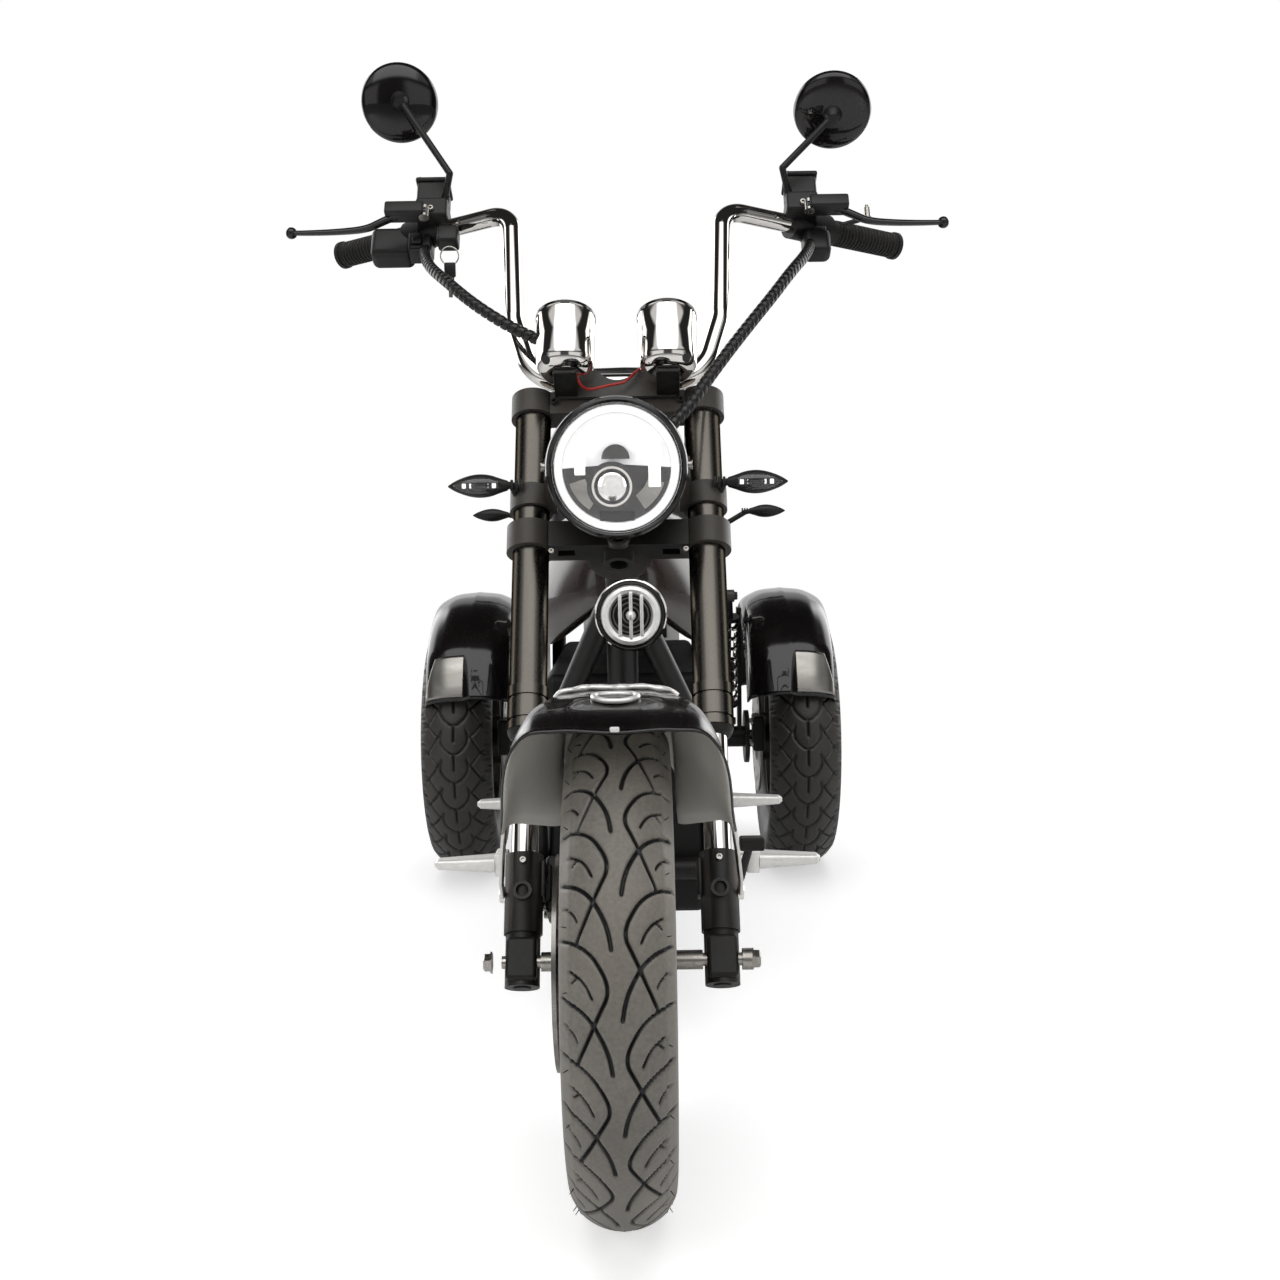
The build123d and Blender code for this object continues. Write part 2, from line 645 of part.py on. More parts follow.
# Back rest on a bent tube that stands on the ends of the seat rails
rest_foot = aft(seat_rail_end + 1)
rest_bend = aft(seat_rail_end + 70)
rest_back = aft(seat_rail_end + 112)
rest_top = 900.0
rest_points = [(rail_x, rest_foot, seat_rail_level), (rail_x, rest_bend, seat_rail_level), (rail_x, rest_back, rest_top),
               (-rail_x, rest_back, rest_top), (-rail_x, rest_bend, seat_rail_level), (-rail_x, rest_foot, seat_rail_level)]
rest_bends = [50.0, 60.0, 60.0, 50.0]
rest_radius = 10.0
rest_tube = tube(rest_points, rest_bends, rest_radius) - seat_frame
keep("rest_tube", rest_tube)
keep("back_rest", block((-95, 95), (rest_back - 54, rest_back - 10 - air), (rest_top - 115, rest_top + 15), 18.0)
     - tube(rest_points, rest_bends, rest_radius + air))

# Rack plate behind the seat, with four holes for a box
rack_z = seat_rail_level + 12
rack_hole_radius = 4.0
rack_holes = ((-60.0, 1420.0), (60.0, 1420.0), (-60.0, 1520.0), (60.0, 1520.0))
rack = block((-100, 100), (aft(1385), aft(1555)), (rack_z, rack_z + 5), 2.0)
for x, distance in rack_holes:
    rack -= bar((x, aft(distance), rack_z - 1), (x, aft(distance), rack_z + 6), rack_hole_radius)
for side in sides:
    rack += bar((side * 80, aft(1310), rack_z - 4), (side * 80, aft(1550), rack_z - 4), 8.0)
rack += across(-rail_x, rail_x, aft(1310), rack_z - 4, 9.0)

# Rear axle: housing with the motor block in the middle and a stub on each side for the wheel
axle_level = rear_tyre_radius
housing = across(-housing_half, housing_half, rear_axle_y, axle_level, housing_radius)
housing += across(-motor_half, motor_half, rear_axle_y, axle_level, motor_radius)
for side in sides:
    housing += across(side * (housing_half - 8), side * housing_half, rear_axle_y, axle_level, rear_hub_radius + 4)
    housing += across(side * housing_half, side * (rear_track / 2 + stub_reach), rear_axle_y, axle_level, stub_radius)
    housing += across(side * (rear_track / 2 + rear_hub_out + air), side * (rear_track / 2 + stub_reach - 4),
                      rear_axle_y, axle_level, 19.0)

# Swing arm from the lower rails to the rear axle
arm_x = 96.0
swing = across(-rail_x + 4, rail_x - 4, aft(1004), rail_level, 12.0)
for side in sides:
    swing += bar((side * arm_x, aft(1004), rail_level), (side * arm_x, rear_axle_y, axle_level), 13.0)
    swing += across(side * (arm_x - 16), side * (arm_x + 16), rear_axle_y, axle_level, housing_radius + 7)
swing = swing - housing - rails[0] - rails[1]
keep("swing_arm", swing.solids().sort_by(SortBy.VOLUME)[-1])


spring_turns = 7


def shock(side):
    """A damper with its spring shown as a ribbed sleeve, from the axle up to the cross tube."""
    x = side * shock_x
    foot = Vector(x, rear_axle_y - 2, axle_level + housing_radius + 4)
    top = Vector(x, aft(tower_distance), tower_level)
    run = top - foot
    solid = bar(tuple(foot), tuple(top), 6.0)
    for number in range(spring_turns):
        start = foot + run * (0.18 + 0.62 * number / spring_turns)
        end = foot + run * (0.18 + 0.62 * (number + 0.55) / spring_turns)
        solid += bar(tuple(start), tuple(end), 15.0)
    solid += across(x - 9, x + 9, foot.Y, foot.Z + 6, 10.0)
    solid += across(x - 9, x + 9, top.Y, top.Z, 11.0)
    return solid


keep("shocks", *[shock(side) - seat_frame - housing for side in sides])


# Rear mudguards: a crowned section turned about the axle
guard_front = 24.0            # degrees above level, at the front lip
guard_sweep = 142.0
fender_x = rear_track / 2 - fender_inset


def rear_guard(side):
    """A mudguard from just behind the top of the front of the tyre to low at the back."""
    crown = rear_tyre_radius + fender_gap
    half = fender_half_width
    edge = crown - fender_drop
    outer = [(-half, edge), (-half * 0.78, crown - 14), (0, crown), (half * 0.78, crown - 14), (half, edge)]
    inner = [(x * (1 - sheet / half), r - sheet) for x, r in outer]
    inner[0] = (inner[0][0], outer[0][1])
    inner[4] = (inner[4][0], outer[4][1])
    section = [
        ThreePointArc(outer[0], (-half * 0.95, crown - 29), outer[1]),
        ThreePointArc(outer[1], outer[2], outer[3]),
        ThreePointArc(outer[3], (half * 0.95, crown - 29), outer[4]),
        Line(outer[4], inner[4]),
        ThreePointArc(inner[4], (half * 0.95 - sheet, crown - 30), inner[3]),
        ThreePointArc(inner[3], inner[2], inner[1]),
        ThreePointArc(inner[1], (sheet - half * 0.95, crown - 30), inner[0]),
        Line(inner[0], outer[0]),
    ]
    profile = Rot(180 - guard_front - guard_sweep, 0, 0) * make_face(Wire(section).edges())
    shell = revolve(profile, Axis.X, revolution_arc=guard_sweep)
    return Pos(side * fender_x, rear_axle_y, axle_level) * shell


guards = mirrored(rear_guard)
for solid, name in zip(guards, ("right", "left")):
    keep("rear_mudguard_" + name, solid)

# Stays between the axle flanges and the mudguards
stay_x = fender_x - fender_half_width


def stay(side):
    """A flat stay from the housing up to the inner edge of a mudguard."""
    x = sorted((side * (stay_x - 4), side * (stay_x + 3.5)))
    plate = block(x, (rear_axle_y - 13, rear_axle_y + 13), (axle_level, axle_level + rear_tyre_radius + 2))
    return plate


for side, guard in zip(sides, guards):
    housing += stay(side) - guard
keep("rear_axle", housing)


def rear_caliper(side):
    """A caliper over the front of the rear disc."""
    x = sorted((side * (rear_disc_x - 15), side * (rear_disc_x + 6)))
    solid = block(x, (rear_axle_y - 112, rear_axle_y - 62), (axle_level - 10, axle_level + 52), 4.0)
    slot = across(side * (rear_disc_x - 3), side * (rear_disc_x + 3), rear_axle_y, axle_level, rear_disc_radius + 2)
    arm = block(sorted((side * (housing_half - 8), side * (rear_disc_x - 9))), (rear_axle_y - 70, rear_axle_y - 30),
                (axle_level - 8, axle_level + 12))
    return (solid + arm - slot - housing).solids().sort_by(SortBy.VOLUME)[-1]


keep("rear_calipers", *mirrored(rear_caliper))


# Foot pegs
def peg(side, distance, level, start, reach, width):
    """A flat tapered peg on a bracket from the lower rail."""
    x0 = side * start
    x1 = side * (start + reach)
    y = aft(distance)
    plane = Plane(origin=(x0, y, level), x_dir=(0, 1, 0), z_dir=(side, 0, 0))
    blade = loft([plane * Rectangle(width, 20), plane.offset(reach) * Rectangle(width * 0.6, 8)])
    bracket = across(side * (rail_x + 4), x0, y, level, 8.0)
    bracket += block(sorted((x0 - side * 16, x0)), (y - 16, y + 16), (level - 14, level + 14), 2.0)
    return (blade + bracket - rails[0] - rails[1]).solids().sort_by(SortBy.VOLUME)[-1]


keep("rider_pegs", *mirrored(lambda side: peg(side, 452, rail_level + 4, 164.0, 76.0, 34.0)))
keep("passenger_pegs", *mirrored(lambda side: peg(side, 800, rail_level + 8, 150.0, 76.0, 28.0)))

# Pedal on the rider's left, on an arm that passes under the foot peg
pedal = tube([(rail_x + 8, aft(515), rail_level - 4), (rail_x + 26, aft(498), rail_level - 17),
              (rail_x + 26, aft(425), rail_level - 17), (rail_x + 36, aft(392), rail_level + 34)], [9.0, 16.0], 5.0)
pedal += block((rail_x + 24, rail_x + 54), (aft(382), aft(402)), (rail_level + 30, rail_level + 46), 3.0)
keep("foot_pedal", (pedal - rails[0] - rails[1]).solids().sort_by(SortBy.VOLUME)[-1])

# Tail lamp, rear turn signals and blank plate on a carrier under the rack
carrier = block((-70, 70), (aft(1554), aft(1560)), (400, rack_z + 5))
rack = rack + carrier - rest_tube
keep("rear_rack", rack)
plate = block((-95, 95), (aft(1560), aft(1563)), (380, 500))
keep("blank_plate", plate)
lamp = block((-60, 60), (aft(1560), aft(1586)), (512, 566), 10.0)
keep("tail_lamp", lamp)


signal_x = rear_track / 2 - 70
signal_distance = 1440.0
signal_level = 648.0


def rear_signal(side):
    """A rear turn signal on a stalk from the side of the rack."""
    lamp = signal(side, side * signal_x, aft(signal_distance), signal_level, 68.0, 24.0)
    low = rack_z - 6
    lamp += bar((side * 86, aft(signal_distance), low), (side * 116, aft(signal_distance), low), 5.0)
    lamp += Pos(side * 116, aft(signal_distance), low) * Sphere(5.0)
    lamp += bar((side * 116, aft(signal_distance), low), (side * (signal_x + 2), aft(signal_distance), signal_level), 5.0)
    return (lamp - rack).solids().sort_by(SortBy.VOLUME)[-1]


keep("rear_signals", *mirrored(rear_signal))

# Horn ahead of the down tube
horn_x = 12.0
horn_level = 546.0
horn_front = aft(178)
horn = bar((horn_x, horn_front, horn_level), (horn_x, horn_front + 16, horn_level), 36.0)
horn += bar((horn_x, horn_front + 16, horn_level), (horn_x, horn_front + 34, horn_level), 22.0)
horn += block((-10, 14), (horn_front + 30, horn_front + 34), (horn_level - 30, horn_level + 10))
horn += bar((0, horn_front + 32, horn_level - 20), (0, aft(330), horn_level - 30), 6.0)
keep("horn", (horn - spine).solids().sort_by(SortBy.VOLUME)[-1])

# Wiring looms, from the switch housings down behind the headlight
loom_radius = 6.5
riser_top = bar_level + 16
loom_rows = (
    # side, points from the switch housing to the clamp of the bar or to the back of the headlight
    (-1, ((-240, 72, 906), (-234, 44, 872), (-222, 10, 828), (-196, -18, 784), (-166, -30, 746), (-134, -30, 720),
          (-106, -26, 704), (-86, -22, 697), (-66, -10, 697), (-46, -6, 688), (-46, -6, riser_top))),
    (1, ((240, 72, 906), (234, 42, 874), (222, 4, 830), (202, -22, 788), (178, -34, 745), (150, -44, 700),
         (122, -52, 655), (96, -58, 612), (76, -64, 574), (46, -65, 540))),
)


def loom(points):
    """A loom along straight runs with arcs as large as the runs allow."""
    route = [Vector(*point) for point in points]
    bends = []
    for before, corner, after in zip(route, route[1:], route[2:]):
        turn = math.radians((corner - before).get_angle(after - corner))
        shorter = min((corner - before).length, (after - corner).length)
        bends.append(0.45 * shorter / math.tan(turn / 2))
    print("loom arcs", [round(bend) for bend in bends])
    return steered * tube(points, bends, loom_radius) - bucket - perches[0] - perches[1]


for side, points in loom_rows:
    keep("loom_" + ("left" if side > 0 else "right"), loom(points))

os.makedirs("parts", exist_ok=True)
for name, solid in nodes.items():
    export_step(solid, "parts/" + name + ".step")
print(len(nodes), "nodes")
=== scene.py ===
import math

import bmesh
import bpy
import numpy as np
from mathutils import Matrix, Vector


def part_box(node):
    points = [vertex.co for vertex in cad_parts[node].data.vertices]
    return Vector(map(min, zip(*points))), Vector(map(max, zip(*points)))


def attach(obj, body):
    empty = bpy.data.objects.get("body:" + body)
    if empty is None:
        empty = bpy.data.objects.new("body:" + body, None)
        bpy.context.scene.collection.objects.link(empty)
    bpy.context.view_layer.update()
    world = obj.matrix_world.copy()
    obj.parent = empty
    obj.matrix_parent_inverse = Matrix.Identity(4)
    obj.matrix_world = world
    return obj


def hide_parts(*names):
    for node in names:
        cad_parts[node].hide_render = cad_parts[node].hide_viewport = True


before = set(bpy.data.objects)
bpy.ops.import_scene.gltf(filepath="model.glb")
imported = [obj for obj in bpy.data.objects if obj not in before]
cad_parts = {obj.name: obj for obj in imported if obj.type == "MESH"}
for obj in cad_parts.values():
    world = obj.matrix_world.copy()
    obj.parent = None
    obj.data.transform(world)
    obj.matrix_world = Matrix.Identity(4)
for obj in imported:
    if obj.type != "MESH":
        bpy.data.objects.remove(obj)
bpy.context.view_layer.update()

bl_info = {
    "name": "Three-wheeled chopper scooter",
    "version": (1, 0, 0),
    "blender": (4, 5, 0),
    "location": "View3D > Sidebar > Scooter",
    "description": "Tyres, mudguards, lamps, dials, seats and finishes on the packed frame of the scooter",
    "category": "Object",
}

# Places in millimetres, as in the part's source: front at -Y, rider's left at +X
MM = 0.001
RAKE = math.radians(29.6)
FRONT_AXLE = (-686.0, 235.0)
REAR_AXLE = (634.0, 236.0)
FORK_SETBACK = 10.0
LEG_X = 94.0
REAR_TRACK = 596.0
SIDES = (-1, 1)
SIDE_NAMES = {-1: "right", 1: "left"}
BAR_END = np.array((360.0, 149.0, 962.0))
BAR_KNEE = np.array((127.0, 15.0, 912.0))
CUP_SEAT = 640.0
CUP_PLACE = (56.0, -52.0)     # across and back in the steered frame
HEADLIGHT = (0.0, -526.0, 698.0)
HORN = (12.0, -508.0, 546.0)
HOUSING_START = 112.0         # where the switch housings begin, from the end of the bar
RIM_RADIUS = 152.0
FRONT_TYRE_WIDTH = 94.0
REAR_TYRE_WIDTH = 120.0
WHISKERS = 44                 # mould whiskers on the front tyre
CUSHION_VOXEL = 0.006         # size of the cushions' mesh in metres
CLOTH_FRAMES = 20             # frames in which a cushion fills
SEAM_BAND = 6.0               # height of the band of points, to each side, that a seam follows
SEAM_POINTS = 160
SEAM_WAVES = 22               # waves round a cushion that a seam keeps
FLOOR_GLOW = 0.52             # light that the floor adds for the camera
WHITE_FROM, WHITE_TO = 0.9, 2.2               # metres from the scooter between which the floor turns white
CAMERA_PLACE = (25.737, -2014.4, 656.425)
CAMERA_TURN = (-0.0031, 0.0903, -0.0162)      # yaw, pitch and roll in radians
CAMERA_LENS = 40.888
SENSOR_WIDTH = 36.0
LOOM_POINTS = {
    # from the switch housing to the clamp of the bar, and to the back of the headlight, in the steered frame
    -1: ((-240, 72, 906), (-234, 44, 872), (-222, 10, 828), (-196, -18, 784), (-166, -30, 746), (-134, -30, 720),
         (-106, -26, 704), (-86, -22, 697), (-66, -10, 697), (-46, -6, 688), (-46, -6, 668)),
    1: ((240, 72, 906), (234, 42, 874), (222, 4, 830), (202, -22, 788), (178, -34, 745), (150, -44, 700),
        (122, -52, 655), (96, -58, 612), (76, -64, 574), (46, -65, 540)),
}
TREAD_REPEATS = 15
TREAD_START = 21.8            # degrees above level at the front, where one hook begins
TREAD_GROOVES = (
    # half width of the groove in mm, points across (-1 at the left shoulder, 0 in the middle) and along (periods)
    (1.6, ((-.96, 0), (-.83, .018), (-.71, .043), (-.56, .085), (-.41, .151), (-.29, .236), (-.20, .319),
           (-.161, .394), (-.178, .470), (-.265, .558), (-.364, .658), (-.413, .714), (-.51, .822), (-.61, .935),
           (-.685, 1.03))),
    (1.8, ((-.945, .495), (-.83, .528), (-.685, .565), (-.537, .621), (-.413, .688), (-.29, .784), (-.19, .884),
           (-.128, .985), (-.091, 1.09))),
    (1.2, ((-.83, .256), (-.71, .294), (-.61, .332), (-.51, .394), (-.425, .477))),
    (1.0, ((-.77, .357), (-.673, .307))),
    (1.2, ((-.896, .714), (-.81, .754), (-.735, .797), (-.68, .847))),
)
REAR_REPEATS = 30
REAR_GROOVES = (
    # half width of the groove in mm, points across and along, as above
    (1.9, ((.0, -.28), (.0, .0), (.0, .30))),
    (2.2, ((-.36, -.08), (-.40, .18), (-.34, .42), (-.18, .64), (.0, .74))),
    (1.9, ((-.98, -.78), (-.80, -.40), (-.60, -.05), (-.40, .20))),
    (1.5, ((-.36, -.08), (-.52, .24), (-.72, .62), (-.95, 1.02))),
)


# Numbers to shapes; lengths in millimetres
def linear(hex_text):
    """sRGB hex to linear colour: a power of 2.4 above a short straight toe."""
    value = np.array([int(hex_text[place:place + 2], 16) for place in (1, 3, 5)]) / 255.0
    rgb = np.where(value <= 0.04045, value / 12.92, ((value + 0.055) / 1.055) ** 2.4)
    return (*rgb.tolist(), 1.0)


def through(knots, values, at):
    """A smooth curve through values at knots: cubic pieces whose slope at a knot is the mean of its two sides'."""
    knots = np.asarray(knots, float)
    values = np.asarray(values, float)
    slopes = np.gradient(values, knots, axis=0)
    at = np.clip(at, knots[0], knots[-1])
    left = np.clip(np.searchsorted(knots, at, side="right") - 1, 0, len(knots) - 2)
    width = knots[left + 1] - knots[left]
    t = (at - knots[left]) / width
    if values.ndim > 1:
        t = t[:, None]
        width = width[:, None]
    return ((2 * t ** 3 - 3 * t ** 2 + 1) * values[left] + (t ** 3 - 2 * t ** 2 + t) * width * slopes[left]
            + (3 * t ** 2 - 2 * t ** 3) * values[left + 1] + (t ** 3 - t ** 2) * width * slopes[left + 1])


def xyz(x, y, z):
    """Points from three coordinates, each spread to the shape that they share."""
    return np.stack(np.broadcast_arrays(x, y, z), -1)


def turns(count):
    """Evenly spaced angles of one full turn."""
    return 2 * np.pi * np.arange(count) / count


def bent(value, power):
    """A power of a value's size that keeps its sign."""
    return np.sign(value) * np.abs(value) ** power


def distances(line):
    """How far along a line each of its points lies."""
    return np.concatenate([[0], np.cumsum(np.linalg.norm(np.diff(line, axis=0), axis=1))])


def round_axle(axle, x, radius, level):
    """Points x across at a radius from an axle, level radians above its front."""
    return xyz(x, axle[0] - radius * np.cos(level), axle[1] + radius * np.sin(level))


def behind(distance):
    """Y of a place that lies so many mm behind the front axle."""
    return FRONT_AXLE[0] + distance


def steered(points):
    """From the steered frame (across, back, along the steering axis) to the row frame: turned back by the rake."""
    points = np.asarray(points, float)
    x, back, along = points[..., 0], points[..., 1], points[..., 2]
    sine, cosine = math.sin(RAKE), math.cos(RAKE)
    y = FRONT_AXLE[0] + FORK_SETBACK * cosine + along * sine + back * cosine
    z = FRONT_AXLE[1] - FORK_SETBACK * sine + along * cosine - back * sine
    return xyz(x, y, z)


UP = steered((0, 0, 1)) - steered((0, 0, 0))         # along the fork
AHEAD = steered((0, -1, 0)) - steered((0, 0, 0))     # square to the fork, to the front


def grid(points, wrap_rows=False, wrap_columns=False):
    """A grid of points (rows, columns, 3) with its quads; a wrapped direction joins its last line to its first."""
    rows, columns = points.shape[:2]
    down, along = np.arange(rows - (not wrap_rows)), np.arange(columns - (not wrap_columns))
    row, column = np.meshgrid(down, along, indexing="ij")
    low, high = row * columns, (row + 1) % rows * columns
    after = (column + 1) % columns
    faces = np.stack([low + column, low + after, high + after, high + column], -1)
    return points.reshape(-1, 3), faces.reshape(-1, 4)


def closed(points):
    """A tube's grid with its two ends drawn together to their middles."""
    first = np.repeat(points[:1].mean(1, keepdims=True), points.shape[1], 1)
    last = np.repeat(points[-1:].mean(1, keepdims=True), points.shape[1], 1)
    return grid(np.concatenate([first, points, last]), wrap_columns=True)


def placed(points, origin, axis, side=(1, 0, 0)):
    """Points of a local frame moved to origin, with local z along axis and local x nearest to side."""
    z = np.asarray(axis, float) / np.linalg.norm(axis)
    if abs(z @ np.asarray(side, float)) > 0.9:
        side = (0, 0, 1)
    y = np.cross(z, np.asarray(side, float))
    y /= np.linalg.norm(y)
    x = np.cross(y, z)
    return np.asarray(origin, float) + points @ np.stack([x, y, z])


def lathe(profile, origin, axis, sides=48, side=(1, 0, 0)):
    """A profile of (along the axis, radius) points carried round the axis in a circle."""
    profile = np.asarray(profile, float)
    angle = turns(sides)
    local = xyz(profile[:, 1:] * np.cos(angle), profile[:, 1:] * np.sin(angle), profile[:, :1])
    return grid(placed(local, origin, axis, side), wrap_columns=True)


def block(low, high, edge, cuts=4, place=None):
    """A box with round edges: a sphere of radius `edge` whose eight parts are pushed out to the corners of a box."""
    low, high = np.minimum(low, high).astype(float), np.maximum(low, high).astype(float)
    turn = 2 * np.pi * (np.arange(8 * cuts) + 0.5) / (8 * cuts)
    rise = np.concatenate([np.linspace(-90, -4, 2 * cuts), np.linspace(4, 90, 2 * cuts)]) * np.pi / 180
    flat = np.maximum(np.cos(rise), 1e-9)[:, None]
    normal = xyz(flat * np.cos(turn), flat * np.sin(turn), np.sin(rise)[:, None])
    points = (low + high) / 2 + np.sign(normal) * ((high - low) / 2 - edge) + edge * normal
    if place is not None:
        points = place(points)
    return closed(points)


def tube(path, radius, sides=10, reference=(0, 0, 1), wrap=False):
    """A circle carried along a path; radius is one number or one for each point, reference fixes the circle's turn."""
    path = np.asarray(path, float)
    run = np.gradient(path, axis=0)
    if wrap:
        run = np.roll(path, -1, 0) - np.roll(path, 1, 0)
    run /= np.linalg.norm(run, axis=1, keepdims=True)
    across = np.cross(run, reference)
    across /= np.linalg.norm(across, axis=1, keepdims=True)
    above = np.cross(across, run)
    angle = turns(sides)
    size = np.broadcast_to(np.asarray(radius, float).reshape(-1, 1) if np.ndim(radius) < 2 else radius,
                           (len(path), sides))[..., None]
    cosine, sine = np.cos(angle)[:, None], np.sin(angle)[:, None]
    points = path[:, None] + size * (cosine * across[:, None] + sine * above[:, None])
    return grid(points, wrap_rows=True, wrap_columns=True) if wrap else closed(points)


def nurbs(points, count):
    """Evenly spaced points on the smooth line that a route's points control, read from a spline of order 3."""
    curve = bpy.data.curves.new("route", "CURVE")
    curve.dimensions = "3D"
    spline = curve.splines.new("NURBS")
    spline.points.add(len(points) - 1)
    spline.points.foreach_set("co", np.column_stack([points, np.ones(len(points))]).ravel())
    spline.order_u = 3
    spline.use_endpoint_u = True
    spline.resolution_u = 24
    holder = bpy.data.objects.new("route", curve)
    mesh = bpy.data.meshes.new_from_object(holder)
    line = np.zeros(len(mesh.vertices) * 3)
    mesh.vertices.foreach_get("co", line)
    line = line.reshape(-1, 3)
    bpy.data.objects.remove(holder)
    bpy.data.curves.remove(curve)
    bpy.data.meshes.remove(mesh)
    length = distances(line)
    at = np.linspace(0, length[-1], count)
    return np.stack([np.interp(at, length, line[:, axis]) for axis in range(3)], -1)


def bolt(origin, axis, radius, height):
    """A bolt head: a six-sided prism on a flange, with a turned-down top edge."""
    profile = [(0, 0), (0, radius * 1.25), (height * 0.18, radius * 1.25), (height * 0.18, radius),
               (height * 0.85, radius), (height, radius * 0.86), (height, 0)]
    return [lathe(profile, origin, axis, 6)]


def screw(origin, axis, radius, height):
    """A round screw head with a six-sided hollow."""
    profile = [(0, 0), (0, radius), (height * 0.85, radius), (height, radius * 0.88), (height, radius * 0.52)]
    hollow = [(height, radius * 0.52), (height * 0.4, radius * 0.5), (height * 0.4, 0)]
    return [lathe(profile, origin, axis, 20), lathe(hollow, origin, axis, 6)]


# Shapes to pieces
def put(name, parts, body, replaces=(), corner=38.0, away_from=None, marks=None):
    """One piece from (shapes, material) pairs: joined, doubles merged, normals outwards and corners kept sharp."""
    points, faces, indices, materials, start = [], [], [], [], 0
    for shapes, finish in parts:
        shapes = [shapes] if isinstance(shapes, tuple) else shapes
        material = bpy.data.materials[finish]
        if material not in materials:
            materials.append(material)
        for skin, quads in shapes:
            points.append(skin)
            faces.append(quads + start)
            indices.append(np.full(len(quads), materials.index(material)))
            start += len(skin)
    mesh = bpy.data.meshes.new(name)
    mesh.from_pydata(np.concatenate(points) * MM, [], np.concatenate(faces).tolist())
    for material in materials:
        mesh.materials.append(material)
    mesh.polygons.foreach_set("material_index", np.concatenate(indices))
    for key, values in (marks or {}).items():
        mesh.attributes.new(key, "FLOAT", "POINT").data.foreach_set("value", values.ravel())
    work = bmesh.new()
    work.from_mesh(mesh)
    bmesh.ops.remove_doubles(work, verts=work.verts, dist=1e-6)
    bmesh.ops.dissolve_degenerate(work, edges=work.edges, dist=1e-7)
    bmesh.ops.recalc_face_normals(work, faces=work.faces)
    if away_from is not None:
        centre = Vector(away_from) * MM
        outward = sum(face.normal.dot(face.calc_center_median() - centre) for face in work.faces)
        if outward < 0:
            bmesh.ops.reverse_faces(work, faces=work.faces)
    work.to_mesh(mesh)
    work.free()
    mesh.shade_smooth()
    mesh.set_sharp_from_angle(angle=math.radians(corner))
    piece = bpy.data.objects.new(name, mesh)
    bpy.context.scene.collection.objects.link(piece)
    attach(piece, body)
    if replaces:
        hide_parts(*replaces)
    return piece


def sheet_wall(piece, thickness, inner=None):
    """Gives an open skin its thickness, inwards, with the second material on its inner side."""
    wall = piece.modifiers.new("wall", "SOLIDIFY")
    wall.thickness = thickness * MM
    wall.offset = -1
    wall.use_even_offset = True
    if inner:
        piece.data.materials.append(bpy.data.materials[inner])
        wall.material_offset = len(piece.data.materials) - 1


# Materials
def add_node(tree, kind, inputs=None, **settings):
    """Adds a node, sets its properties, and gives each named input a value or a link."""
    node = tree.nodes.new(kind)
    for key, value in settings.items():
        setattr(node, key, value)
    for key, value in (inputs or {}).items():
        if isinstance(value, bpy.types.NodeSocket):
            tree.links.new(value, node.inputs[key])
        else:
            node.inputs[key].default_value = value
    return node


